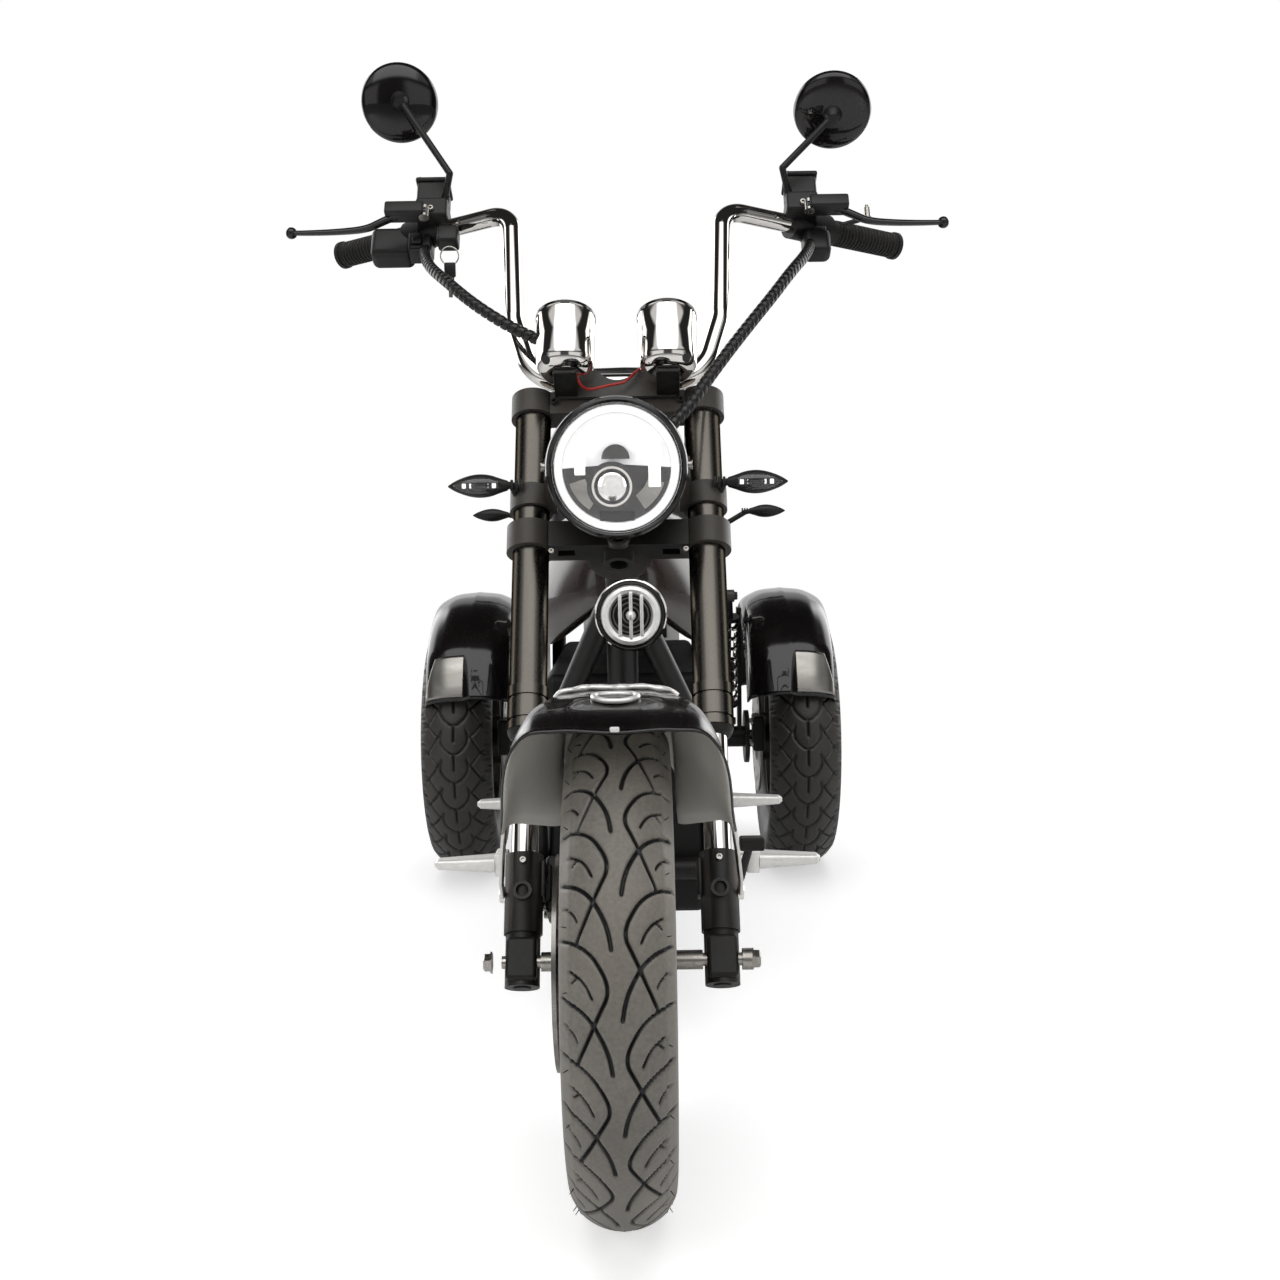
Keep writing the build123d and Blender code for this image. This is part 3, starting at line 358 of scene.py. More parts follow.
FINISHES = {
    # Sprayed enamel under clear lacquer: deep black, a mirror-like skin with a trace of orange peel
    "gloss_black_enamel": dict(base="#0b0909", second="#110d0d", rough=(0.22, 0.30), coat=0.75,
                               grain=40.0, shine=0.15),
    # The same enamel on the body cover, over a lighter warm brown base colour that is a painted reflection
    "black_enamel_painted_warm_reflection": dict(base="#3a302c", second="#2c2522", rough=(0.20, 0.30), coat=1.0, coat_rough=0.04,
                              grain=60.0),
    # Powder coat baked on steel tube: black, half matt, finely pebbled
    "satin_black_powder_coat": dict(base="#100f0e", second="#181716", rough=(0.34, 0.48), grain=1.4, depth=0.05,
                                    shine=0.35),
    # Painted sand casting: matt black with a coarse skin, and a painted highlight that makes its sharp edges paler
    "cast_black_aluminium": dict(base="#0f0e0d", second="#1b1917", rough=(0.36, 0.56), grain=2.2, depth=0.12,
                                 edge="#4a4642", shine=0.35),
    # Turned and black-anodised tube: dark, metallic, with lengthwise polish lines and a warm sheen
    "turned_black_tube": dict(base="#585550", second="#65615b", metal=1.0, rough=(0.22, 0.32), grain=3.0, depth=0.01,
                              stretch=(9.0, 1.0, 0.35), grazing="#0c0b0b"),
    # Decorative chromium plate over polished steel: near-white mirror
    "chrome_plate": dict(base="#e9e6e2", second="#dedad5", metal=1.0, rough=(0.03, 0.07), grain=25.0),
    # Bright zinc-plated steel of bolts and spacers: pale grey with a soft shine
    "zinc_plated_steel": dict(base="#b9b6b0", second="#9d9992", metal=1.0, rough=(0.22, 0.42), grain=3.0, depth=0.02),
    # Ground stainless disc: mid grey, with fine scratches round the axle
    "ground_stainless_steel": dict(base="#a7a49f", second="#86837e", metal=1.0, rough=(0.24, 0.40), grain=1.2,
                                   depth=0.02, stretch=(1.0, 4.0, 4.0)),
    # Die-cast and tumbled aluminium of the foot pegs: bright, softly mottled
    "tumbled_aluminium": dict(base="#f7f6f3", second="#ebe9e5", metal=0.6, rough=(0.42, 0.55), grain=6.0, depth=0.01),
    # Bead-blasted chromium plate of the horn's front: white and soft
    "bead_blasted_chrome": dict(base="#fbfaf8", second="#efedea", metal=0.7, rough=(0.34, 0.46), grain=6.0),
    # Injection-moulded ABS: black, half matt, finely spark-eroded
    "moulded_black_abs": dict(base="#100f0f", second="#181716", rough=(0.38, 0.52), grain=0.9, depth=0.04, shine=0.4),
    # Anodised and lacquered aluminium of small turned parts: dark grey, half matt
    "turned_black_lever": dict(base="#161514", second="#211f1d", rough=(0.28, 0.40), coat=0.3, grain=3.0, depth=0.03),
    # Vulcanised rubber of grips, boots and seals: deep black, matt
    "moulded_rubber": dict(base="#100f0e", second="#191715", rough=(0.52, 0.70), grain=1.6, depth=0.06, sheen=0.1,
                           shine=0.35),
    # Polyethylene spiral wrap: black with a waxy shine
    "spiral_wrap_polyethylene": dict(base="#0d0c0c", second="#161413", rough=(0.26, 0.40), grain=4.0, depth=0.03),
    # Primer-grey sprayed inside of the front mudguard, lightened to paint in light bounced up from the floor: satin, a
    # little dusty
    "grey_underside_painted_bounce": dict(base="#cbc9c2", second="#d8d5ce", rough=(0.45, 0.60), grain=1.0, depth=0.03),
    # Vapour-metallised reflector bowl: bright and slightly hazy
    "metallised_reflector": dict(base="#f1f0ee", second="#e4e3e1", metal=1.0, rough=(0.10, 0.18), grain=6.0),
    # Upper half of the reflector, white as a painted reflection of the bright sky: smooth, a little glossy
    "reflector_painted_bright_reflection": dict(base="#ffffff", second="#fafafa", rough=(0.12, 0.2), grain=6.0, coat=0.5),
    # Dark smoked lamp bezel: glossy grey-black plastic, also laid on the reflector's lower half as a painted
    # reflection of the dark ground
    "smoked_bezel_and_painted_dark_reflection": dict(base="#171615", second="#211f1e", rough=(0.14, 0.24), coat=0.6, coat_rough=0.04, grain=8.0),
    # Opal light guide of the ring and the lamp strips: white, and lit from inside as the panel says
    "opal_light_guide": dict(base="#fbfbfa", second="#f2f2f0", rough=(0.25, 0.35), grain=5.0),
    # Second-surface silvered glass of the mirrors
    "silvered_glass": dict(base="#eef1f2", second="#e9edef", metal=1.0, rough=(0.01, 0.02), grain=40.0, depth=0.0,
                           coat=0.5, coat_rough=0.0),
    # White stoved enamel on the blank plate
    "white_plate_enamel": dict(base="#e8e8e5", second="#dcdcd8", rough=(0.28, 0.38), grain=2.0, depth=0.02),
    # PVC insulation of the signal wire: bright red, soft shine
    "red_wire_insulation": dict(base="#b51f17", second="#8f1711", rough=(0.35, 0.48), grain=3.0, depth=0.02),
    # Clear polycarbonate stained red, moulded with small prisms
    "red_polycarbonate": dict(base="#8c0f12", second="#6f0a0d", rough=(0.10, 0.18), coat=0.8,
                              grain=2.5, depth=0.15, prisms=True),
    # Dark amber lens of the rear turn signals, almost black when unlit
    "smoked_amber_lens": dict(base="#1c110a", second="#27170c", rough=(0.10, 0.18), coat=0.8,
                              grain=2.5, depth=0.12, prisms=True),
    # Printed dial card: black, matt
    "black_dial_card": dict(base="#0d0d0d", second="#131313", rough=(0.5, 0.6), grain=1.0),
    # White screen print on the dial card
    "white_dial_print": dict(base="#f0f0ee", second="#e6e6e3", rough=(0.4, 0.5), grain=1.0),
    # Vinyl-coated seat cloth: black, embossed with a leather grain
    "black_seat_vinyl": dict(base="#100f0f", second="#1a1817", rough=(0.40, 0.55), coat=0.15, coat_rough=0.3,
                             grain=2.4, depth=0.22, leather=True),
    # Twisted polyester thread of the seams
    "seam_thread": dict(base="#1d1c1b", second="#2a2827", rough=(0.6, 0.8), grain=0.8, depth=0.05, sheen=0.4),
    # Moulded polypropylene of the battery case: dark grey, coarse grained
    "battery_case_polypropylene": dict(base="#0e0e0e", second="#151414", rough=(0.46, 0.60), grain=1.2, depth=0.10,
                                       leather=True, shine=0.3),
}


def empty_material(name):
    """A new material and its node tree with nothing in it."""
    material = bpy.data.materials.new(name)
    material.use_nodes = True
    material.node_tree.nodes.clear()
    return material, material.node_tree


def make_finish(name, base, second, rough, metal=0.0, coat=0.0, coat_rough=0.03, grain=2.0, depth=0.0,
                stretch=(1.0, 1.0, 1.0), sheen=0.0, glow=0.0, edge=None, leather=False, prisms=False, shine=0.5,
                grazing=None, paint=None):
    """A material whose colour, roughness and relief follow one pattern with grain mm from lump to lump; paint is a
    linear colour that takes the place of base."""
    material, tree = empty_material(name)
    place = add_node(tree, "ShaderNodeTexCoord").outputs["Object"]
    if stretch != (1.0, 1.0, 1.0):
        place = add_node(tree, "ShaderNodeMapping", {"Vector": place, "Scale": stretch}).outputs["Vector"]
    scale = 1 / (grain * MM)
    if leather or prisms:
        cells = {"Vector": place, "Scale": scale, "Randomness": 0.0 if prisms else 1.0}
        cells = add_node(tree, "ShaderNodeTexVoronoi", cells, feature="F1" if prisms else "SMOOTH_F1")
        pattern = cells.outputs["Distance"]
    else:
        lumps = {"Vector": place, "Scale": scale, "Detail": 4.0}
        pattern = add_node(tree, "ShaderNodeTexNoise", lumps).outputs["Fac"]
    cloud = add_node(tree, "ShaderNodeTexNoise", {"Vector": place, "Scale": 14.0, "Detail": 3.0}).outputs["Fac"]
    both = add_node(tree, "ShaderNodeMath", {0: pattern, 1: cloud}, operation="ADD").outputs[0]
    share = add_node(tree, "ShaderNodeMapRange", {"Value": both, "From Min": 0.7, "From Max": 1.3}).outputs[0]
    colours = {"Factor": share, "A": paint or linear(base), "B": linear(second)}
    shade = add_node(tree, "ShaderNodeMix", colours, data_type="RGBA").outputs["Result"]
    # edge is the colour of a painted highlight, laid on the sharp edges that Pointiness finds
    if edge:
        rim = add_node(tree, "ShaderNodeMapRange", {
            "Value": add_node(tree, "ShaderNodeNewGeometry").outputs["Pointiness"], "From Min": 0.53,
            "From Max": 0.60, "To Max": 0.8}).outputs[0]
        edge_highlight = {"Factor": rim, "A": shade, "B": linear(edge)}
        shade = add_node(tree, "ShaderNodeMix", edge_highlight, data_type="RGBA").outputs["Result"]
    finish = add_node(tree, "ShaderNodeMapRange", {"Value": share, "To Min": rough[0], "To Max": rough[1]}).outputs[0]
    shader = add_node(tree, "ShaderNodeBsdfPrincipled", {
        "Base Color": shade, "Roughness": finish, "Metallic": metal, "Coat Weight": coat,
        "Coat Roughness": coat_rough, "Sheen Weight": sheen, "Specular IOR Level": shine})
    if grazing:
        shader.inputs["Specular Tint"].default_value = linear(grazing)
    if glow:
        shader.inputs["Emission Color"].default_value = linear(base)
        shader.inputs["Emission Strength"].default_value = glow
    if depth:
        relief = add_node(tree, "ShaderNodeBump", {"Height": pattern, "Strength": 0.6, "Distance": depth * MM})
        tree.links.new(relief.outputs["Normal"], shader.inputs["Normal"])
    add_node(tree, "ShaderNodeOutputMaterial", {"Surface": shader.outputs[0]})
    return material


def make_tyre_rubber(name, base, second):
    """Moulded carbon-black rubber: blocks in the given greys (road dust and painted sheen on the front tyre), painted
    shade that turns the grooves black, faint scuffs.
    """
    material = make_finish(name, base, second, (0.38, 0.56), grain=3.5, depth=0.08, sheen=0.1)
    tree = material.node_tree
    shader = [node for node in tree.nodes if node.type == "BSDF_PRINCIPLED"][0]
    distance = add_node(tree, "ShaderNodeAttribute", attribute_name="groove").outputs["Fac"]
    # painted shade: the grooves turn near black, by their distance from the groove's edge
    wall = add_node(tree, "ShaderNodeMapRange", {"Value": distance, "From Min": -0.3, "From Max": 0.5}).outputs[0]
    paint = shader.inputs["Base Color"].links[0].from_socket
    colours = {"Factor": wall, "A": linear("#070606"), "B": paint}
    mix = add_node(tree, "ShaderNodeMix", colours, data_type="RGBA")
    tree.links.new(mix.outputs["Result"], shader.inputs["Base Color"])


def make_clear(name, tint, rough):
    """Clear polycarbonate: a hard, colourless skin with IOR 1.585 that shows what lies behind it."""
    tree = empty_material(name)[1]
    place = add_node(tree, "ShaderNodeTexCoord").outputs["Object"]
    haze = add_node(tree, "ShaderNodeTexNoise", {"Vector": place, "Scale": 90.0}).outputs["Fac"]
    haze = add_node(tree, "ShaderNodeMapRange", {"Value": haze, "To Min": rough, "To Max": rough * 2}).outputs[0]
    shader = add_node(tree, "ShaderNodeBsdfPrincipled", {
        "Base Color": linear(tint), "Roughness": haze, "IOR": 1.585, "Transmission Weight": 1.0})
    glass = add_node(tree, "ShaderNodeBsdfTransparent", {"Color": linear(tint)})
    light = add_node(tree, "ShaderNodeLightPath").outputs["Is Shadow Ray"]
    mix = add_node(tree, "ShaderNodeMixShader", {0: light, 1: shader.outputs[0], 2: glass.outputs[0]})
    add_node(tree, "ShaderNodeOutputMaterial", {"Surface": mix.outputs[0]})


NODE_FINISH = {
    "satin_black_powder_coat": ("frame_spine", "lower_rails", "seat_frame", "rear_uprights", "rear_rack", "swing_arm",
                                "mirror_stalks"),
    "battery_case_polypropylene": ("battery_box",),
    "gloss_black_enamel": ("side_covers", "rear_mudguard_left", "rear_mudguard_right", "mirror_heads",
                           "headlight_shell", "front_mudguard"),
    "black_seat_vinyl": ("rider_seat", "passenger_seat", "back_rest"),
    "chrome_plate": ("rest_tube", "horn", "fork_stanchions", "handlebar", "dial_cups"),
    "white_plate_enamel": ("blank_plate",),
    "red_polycarbonate": ("tail_lamp",),
    "moulded_black_abs": ("rear_signals", "front_signals", "bar_controls"),
    "cast_black_aluminium": ("rear_axle", "rear_calipers", "fork_castings", "lower_clamp", "upper_clamp", "bar_clamp",
                             "headlight_ears", "front_caliper", "front_rim", "rear_rim_left", "rear_rim_right"),
    "turned_black_tube": ("fork_tubes",),
    "zinc_plated_steel": ("front_axle", "shocks"),
    "tumbled_aluminium": ("rider_pegs", "passenger_pegs"),
    "moulded_rubber": ("foot_pedal", "grips"),
    "silvered_glass": ("mirror_glasses",),
    "black_dial_card": ("dial_faces",),
    "clear_polycarbonate": ("headlight_lens",),
    "spiral_wrap_polyethylene": ("loom_left", "loom_right"),
    "tyre_rubber_dust_and_sheen": ("front_tyre",),
    "clean_tyre_rubber": ("rear_tyre_left", "rear_tyre_right"),
    "black_enamel_painted_warm_reflection": ("body_cover",),
    "ground_stainless_steel": ("front_brake_disc", "rear_brake_disc_left", "rear_brake_disc_right"),
    "turned_black_lever": ("brake_levers",),
}


class ScooterTyres(bpy.types.PropertyGroup):
    """Sizes of the tread."""
    front_depth: bpy.props.FloatProperty(
        name="Front groove depth", description="How deep the grooves of the front tyre are", default=0.0035,
        min=0.0, max=0.01, unit="LENGTH")
    rear_depth: bpy.props.FloatProperty(
        name="Rear groove depth", description="How deep the grooves of the rear tyres are", default=0.0035,
        min=0.0, max=0.01, unit="LENGTH")


class ScooterLamps(bpy.types.PropertyGroup):
    """Sizes of the lamps."""
    halo_outer: bpy.props.FloatProperty(
        name="Halo outer radius", description="Outer radius of the white ring in the headlight", default=0.0648,
        min=0.03, max=0.07, unit="LENGTH")
    halo_inner: bpy.props.FloatProperty(
        name="Halo inner radius", description="Inner radius of the white ring in the headlight", default=0.0555,
        min=0.02, max=0.065, unit="LENGTH")
    halo_glow: bpy.props.FloatProperty(
        name="Halo glow", description="How strongly the ring and the lamp strips shine", default=0.55, min=0.0,
        max=5.0)


class ScooterColours(bpy.types.PropertyGroup):
    """Colours that an owner would choose."""
    enamel: bpy.props.FloatVectorProperty(
        name="Enamel", description="Colour of the mudguards, covers and mirror shells", subtype="COLOR", size=4,
        min=0.0, max=1.0, default=linear("#0b0909"))
    seat: bpy.props.FloatVectorProperty(
        name="Seat vinyl", description="Colour of the seats and the back rest", subtype="COLOR", size=4, min=0.0,
        max=1.0, default=linear("#100f0f"))


class ScooterSeats(bpy.types.PropertyGroup):
    """Sizes of the upholstery."""
    swell: bpy.props.FloatProperty(
        name="Swell", description="Furthest that a point of a cushion moves when it is filled", default=0.009,
        min=0.0, max=0.03, unit="LENGTH")
    piping: bpy.props.FloatProperty(
        name="Piping", description="Radius of the cord in the seams", default=0.0026, min=0.001, max=0.006,
        unit="LENGTH")


class ScooterStage(bpy.types.PropertyGroup):
    """The floor and the light."""
    floor_size: bpy.props.FloatProperty(
        name="Floor size", description="Length of the floor's side", default=40.0, min=4.0, max=200.0, unit="LENGTH")
    top_power: bpy.props.FloatProperty(
        name="Top light", description="Power of the large light overhead", default=62.0, min=0.0, max=1000.0,
        unit="POWER")
    world_level: bpy.props.FloatProperty(
        name="World level", description="How strongly the surroundings light the scooter", default=0.20, min=0.0,
        max=2.0)


class SCOOTER_OT_finishes(bpy.types.Operator):
    """Makes the materials and gives one to every CAD node"""
    bl_idname = "scooter.finishes"
    bl_label = "Finishes"

    def execute(self, context):
        scene = context.scene
        chosen = {"gloss_black_enamel": {"paint": tuple(scene.scooter_colours.enamel)},
                  "black_seat_vinyl": {"paint": tuple(scene.scooter_colours.seat)},
                  "opal_light_guide": {"glow": scene.scooter_lamps.halo_glow}}
        for name, row in FINISHES.items():
            make_finish(name, **row, **chosen.get(name, {}))
        # the front tyre's grey is road dust and a painted sheen of the front light, lighter than the rear tyres'
        # rubber
        make_tyre_rubber("tyre_rubber_dust_and_sheen", "#625e58", "#7a756d")
        make_tyre_rubber("clean_tyre_rubber", "#23211f", "#34312e")
        make_clear("clear_polycarbonate", "#ffffff", 0.008)
        for finish, nodes in NODE_FINISH.items():
            for node in nodes:
                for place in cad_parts[node].material_slots:
                    place.material = bpy.data.materials[finish]
        return {"FINISHED"}


# Tyres
NO_GROOVE = 50.0              # distance to a groove where there is none
SHOULDER_LINES = (0.80, 0.93)                 # share of the half width
WALL_LINES = ((160.5, 1.2), (166.0, 0.5), (193.0, 0.9), (196.5, 0.7))     # radius and height of each raised line


def tyre_section(radius, width, tread, wall):
    """Points (x, radius) of a tyre's skin from bead to bead: a crown arc between two smooth side walls."""
    half = width / 2
    middle = (radius - RIM_RADIUS) * 0.45 + RIM_RADIUS
    shoulder = radius - 0.16 * width
    drop = radius - shoulder
    crown = ((0.8 * half) ** 2 + drop ** 2) / (2 * drop)
    reach = math.asin(0.8 * half / crown)
    angle = np.linspace(-reach, reach, tread)
    top = np.stack([crown * np.sin(angle), radius - crown + crown * np.cos(angle)], -1)
    knots = (0, 0.25, 0.5, 0.78, 1.0)
    side = np.array([(0.66 * half, RIM_RADIUS), (0.94 * half, (RIM_RADIUS + middle) / 2), (half, middle),
                     (0.975 * half, (middle + shoulder) / 2 + 2), (0.8 * half, shoulder)])
    right = through(knots, side, np.linspace(0, 1, wall, endpoint=False))[::-1]
    return np.concatenate([right[::-1] * (-1, 1), top, right])


def groove_distance(across, along, curves, x_of, period, offset):
    """Distance in mm from each point to the nearest groove's edge, below zero inside it, on the unrolled skin."""
    result = np.full(across.shape, NO_GROOVE)
    for half_width, points in curves:
        route = np.array(points, float)
        at = np.linspace(0, len(route) - 1, 12 * len(route))
        line = through(np.arange(len(route)), route, at)
        for flip, shift in ((1, 0.0), (-1, offset)):
            for lap in (-2, -1, 0, 1):
                x = flip * np.interp(line[:, 0], *x_of)
                s = (line[:, 1] + shift + lap) * period
                gap = np.sqrt((across[..., None] - x) ** 2 + (along[..., None] - s) ** 2)
                result = np.minimum(result, gap.min(-1) - half_width)
    return result


def tyre(name, centre, radius, width, tread, wall, rows, repeats, curves, offset, start, depth, body, rubber):
    """A tyre's skin: its section carried round the axle, sunk along its normal where a groove runs.

    tread and wall count the section's points, rows the points of one repeat; every second groove is mirrored and
    shifted by offset repeats, and start is where the pattern begins, in degrees above the front."""
    section = tyre_section(radius, width, tread, wall)
    arc = distances(section)
    middle = len(section) // 2
    arc -= arc[middle]
    half = slice(middle, np.argmax(section[:, 0]) + 1)
    x_of = [np.concatenate([-side[::-1], side]) for side in (section[half, 0] / (width / 2), arc[half])]
    period = 2 * np.pi * radius / repeats
    along = np.arange(rows) / rows * period
    gap = groove_distance(*np.broadcast_arrays(arc, along[:, None]), curves, x_of, period, offset)
    edge = x_of[1][-1]
    tread_part = np.interp(np.abs(arc), (edge - 3, edge), (1, 0))
    gap = np.where(tread_part > 0, gap, NO_GROOVE)
    sink = depth * tread_part * (1 - np.clip((gap + 0.9) / 1.2, 0, 1))
    lines = 0.5 * np.exp(-(arc / 0.9) ** 2)
    for share in SHOULDER_LINES:
        lines += 0.45 * np.exp(-((np.abs(arc) - np.interp(share, *x_of)) / 0.7) ** 2)
    for level, height in WALL_LINES:
        lines += height * np.exp(-((section[:, 1] - level) / 0.9) ** 2)
    run = np.gradient(section, axis=0)
    normal = np.stack([-run[:, 1], run[:, 0]], -1)
    normal /= np.linalg.norm(normal, axis=1, keepdims=True)
    skin = section[None] + (lines[None, :, None] * 0.8 - sink[..., None]) * normal[None]
    skin = np.tile(skin, (repeats, 1, 1))
    marks = np.tile(np.clip(gap, -4, 6), (repeats, 1))
    turn = math.radians(start) - 2 * np.pi * np.arange(rows * repeats) / (rows * repeats)
    points = round_axle(centre[1:], centre[0] + skin[..., 0], skin[..., 1], turn[:, None])
    return put(name, [(grid(points, wrap_rows=True, wrap_columns=True), rubber)], body,
               replaces=[name.replace("_skin", "")], corner=60, marks={"groove": marks})


class SCOOTER_OT_front_tyre(bpy.types.Operator):
    """Front tyre with its hooked grooves, a centre line, shoulder lines and mould whiskers"""
    bl_idname = "scooter.front_tyre"
    bl_label = "Front tyre"

    def execute(self, context):
        depth = context.scene.scooter_tyres.front_depth / MM
        centre = (0.0, *FRONT_AXLE)
        tyre("front_tyre_skin", centre, FRONT_AXLE[1], FRONT_TYRE_WIDTH, 81, 15, 48, TREAD_REPEATS, TREAD_GROOVES,
             0.56, TREAD_START, depth, "front_wheel", "tyre_rubber_dust_and_sheen")
        whiskers = []
        for number in range(WHISKERS):
            angle = 2 * math.pi * (number + 0.37 * (number % 3)) / WHISKERS
            hand = -1 if number % 2 else 1
            out = (0.75 * hand, -math.cos(angle), math.sin(angle))
            tip = 3.2 + number % 4 * 0.6
            whiskers.append(lathe([(-1, 0), (-1, 0.55), (tip, 0.3), (tip + 0.2, 0)],
                                  round_axle(FRONT_AXLE, 41.0 * hand, 217.5, angle), out, 5))
        put("front_tyre_whiskers", [(whiskers, "moulded_rubber")], "front_wheel")
        return {"FINISHED"}


class SCOOTER_OT_rear_tyres(bpy.types.Operator):
    """Rear tyres with shield-shaped grooves"""
    bl_idname = "scooter.rear_tyres"
    bl_label = "Rear tyres"

    def execute(self, context):
        depth = context.scene.scooter_tyres.rear_depth / MM
        for side in SIDES:
            centre = (side * REAR_TRACK / 2, *REAR_AXLE)
            tyre("rear_tyre_%s_skin" % SIDE_NAMES[side], centre, REAR_AXLE[1], REAR_TYRE_WIDTH, 67, 9, 17,
                 REAR_REPEATS, REAR_GROOVES, 0.0, 12.0, depth, "rear_wheel_" + SIDE_NAMES[side], "clean_tyre_rubber")
        return {"FINISHED"}


# Mudguards
GUARD_ROWS = np.array((
    # degrees ahead of the top, crown radius, half width, depth of the sides
    (-54.0, 262.0, 60.0, 38.0),
    (-30.0, 260.0, 59.0, 54.0),
    (-16.0, 260.0, 57.0, 90.0),
    (-6.0, 260.0, 56.0, 126.0),
    (4.0, 261.5, 58.0, 130.0),
    (12.0, 267.0, 74.0, 127.0),
    (20.0, 275.0, 93.0, 122.0),
    (26.0, 280.0, 98.5, 120.0),
    (31.5, 283.0, 100.0, 118.0),
))
GUARD_FRONT = GUARD_ROWS[-1, 0]
GUARD_SHARE = (0, 0.35, 0.62, 0.85, 1.0)      # share of the way from the crown to the lower edge
GUARD_WIDTH = (0, 0.48, 0.79, 0.95, 1.0)      # share of the half width there
GUARD_FALL = (0.0, 0.006, 0.09, 0.47, 1.0)    # share of the depth there


def over_axle(x, radius, ahead):
    """Points x across at a radius from the front axle, ahead radians before its top."""
    return xyz(x, FRONT_AXLE[0] - radius * np.sin(ahead), FRONT_AXLE[1] + radius * np.cos(ahead))


class SCOOTER_OT_front_mudguard(bpy.types.Operator):
    """Front mudguard: an arched sheet, wide ahead of the fork, with a ring, a trim strip and two stays"""
    bl_idname = "scooter.front_mudguard"
    bl_label = "Front mudguard"

    def execute(self, context):
        across = np.linspace(-1, 1, 73)
        share = np.abs(across)
        width = np.sign(across) * through(GUARD_SHARE, GUARD_WIDTH, share)
        fall = through(GUARD_SHARE, GUARD_FALL, share)
        ahead = np.linspace(GUARD_ROWS[0, 0], GUARD_FRONT, 87)
        rows = through(GUARD_ROWS[:, 0], GUARD_ROWS[:, 1:], ahead)
        lip = np.interp(ahead, (18, GUARD_FRONT), (0, 1))[:, None] * -2.2 * np.exp(-(across / 0.30) ** 2)
        radius = rows[:, :1] - rows[:, 2:3] * fall + lip * 2.2
        bead = np.interp(ahead, (30.0, GUARD_FRONT), (0, 1.6))[:, None] + 1.4 * np.clip((share - 0.96) / 0.04, 0, 1)
        radius = radius + bead * np.maximum(1 - share, 0.3)
        points = over_axle(rows[:, 1:2] * width * (1 + bead * 0.012), radius, np.radians(ahead)[:, None])
        shell = put("front_mudguard_sheet", [(grid(points), "gloss_black_enamel")], "steering",
                    replaces=["front_mudguard"], away_from=(0, *FRONT_AXLE))
        # the inner side's light grey is partly painted light, bounced up from the floor
        sheet_wall(shell, 2.4, "grey_underside_painted_bounce")

        def on_guard(degrees, x, lift=0.0):
            """Points on the mudguard's crown at degrees ahead of the top, x across."""
            degrees, x = np.broadcast_arrays(np.atleast_1d(degrees), np.atleast_1d(x))
            row = through(GUARD_ROWS[:, 0], GUARD_ROWS[:, 1:], degrees)
            coarse, fine = np.linspace(0, 1, 40), np.linspace(0, 1, 200)
            way = np.interp(coarse, through(GUARD_SHARE, GUARD_WIDTH, fine), fine)
            way = np.interp(np.abs(x) / row[:, 1], coarse, way)
            return over_axle(x, row[:, 0] - row[:, 2] * through(GUARD_SHARE, GUARD_FALL, way) + lift,
                             np.radians(degrees))

        angle = np.linspace(0, 2 * np.pi, 56, endpoint=False)

        def oval(size, lift):
            """A line round the ring's place; size 1 is the ring itself."""
            return on_guard(19.0 + size * 2.5 * np.sin(angle), size * 19.0 * np.cos(angle), lift)

        ring = oval(1.0, 1.6)
        inset = np.stack([oval(size, 1.0) for size in np.linspace(0.05, 1.0, 6)])
        put("mudguard_ring", [(tube(ring, 2.6, 12, (0, -0.4, 0.9), wrap=True), "bead_blasted_chrome"),
                              (grid(inset, wrap_columns=True), "turned_black_lever")], "steering")
        span = np.linspace(-54, 54, 141)
        wave = 0.6 * np.sin(span * 0.36) + 0.5 * np.sin(span * 0.19 + 1.0)
        strips = []
        for offset, lift in ((0.0, 1.8), (1.1, 2.2)):
            strips.append(tube(on_guard(9.5 + offset + 0.3 * wave, span, lift), 2.7 + 0.5 * wave, 12, (0, -1, 0.3)))
        put("mudguard_trim", [(strips, "bead_blasted_chrome")], "steering")
        stays, lugs = [], []
        route = np.array([(95.5, -758, 408), (101, -738, 384), (108, -700, 342), (113, -668, 306),
                          (113.5, -650, 288)])
        for side in SIDES:
            stays.append(tube(route * (side, 1, 1), 2.6, 10, (1, 0, 0)))
            stays += bolt(steered((side * 111.5, 0, 66)), (side, 0, 0), 7.0, 6.0)
            lugs.append(block((side * 75 - 2.2, -12, 62), (side * 75 + 2.2, 10, 98), 1.5, 2, steered))
        put("mudguard_stays", [(stays, "chrome_plate")], "steering")
        put("mudguard_braces", [(lugs, "satin_black_powder_coat")], "steering")
        lip_end = on_guard(31.0, 0.0, -1.0)[0]
        clip = block(lip_end + (-4, -2.5, -3), lip_end + (4, 1.5, 1.5), 1.4, 2)
        put("mudguard_clip", [(clip, "white_plate_enamel")], "steering")
        return {"FINISHED"}


REAR_GUARD_RADIUS = 273.0
REAR_GUARD_HALF = 76.0


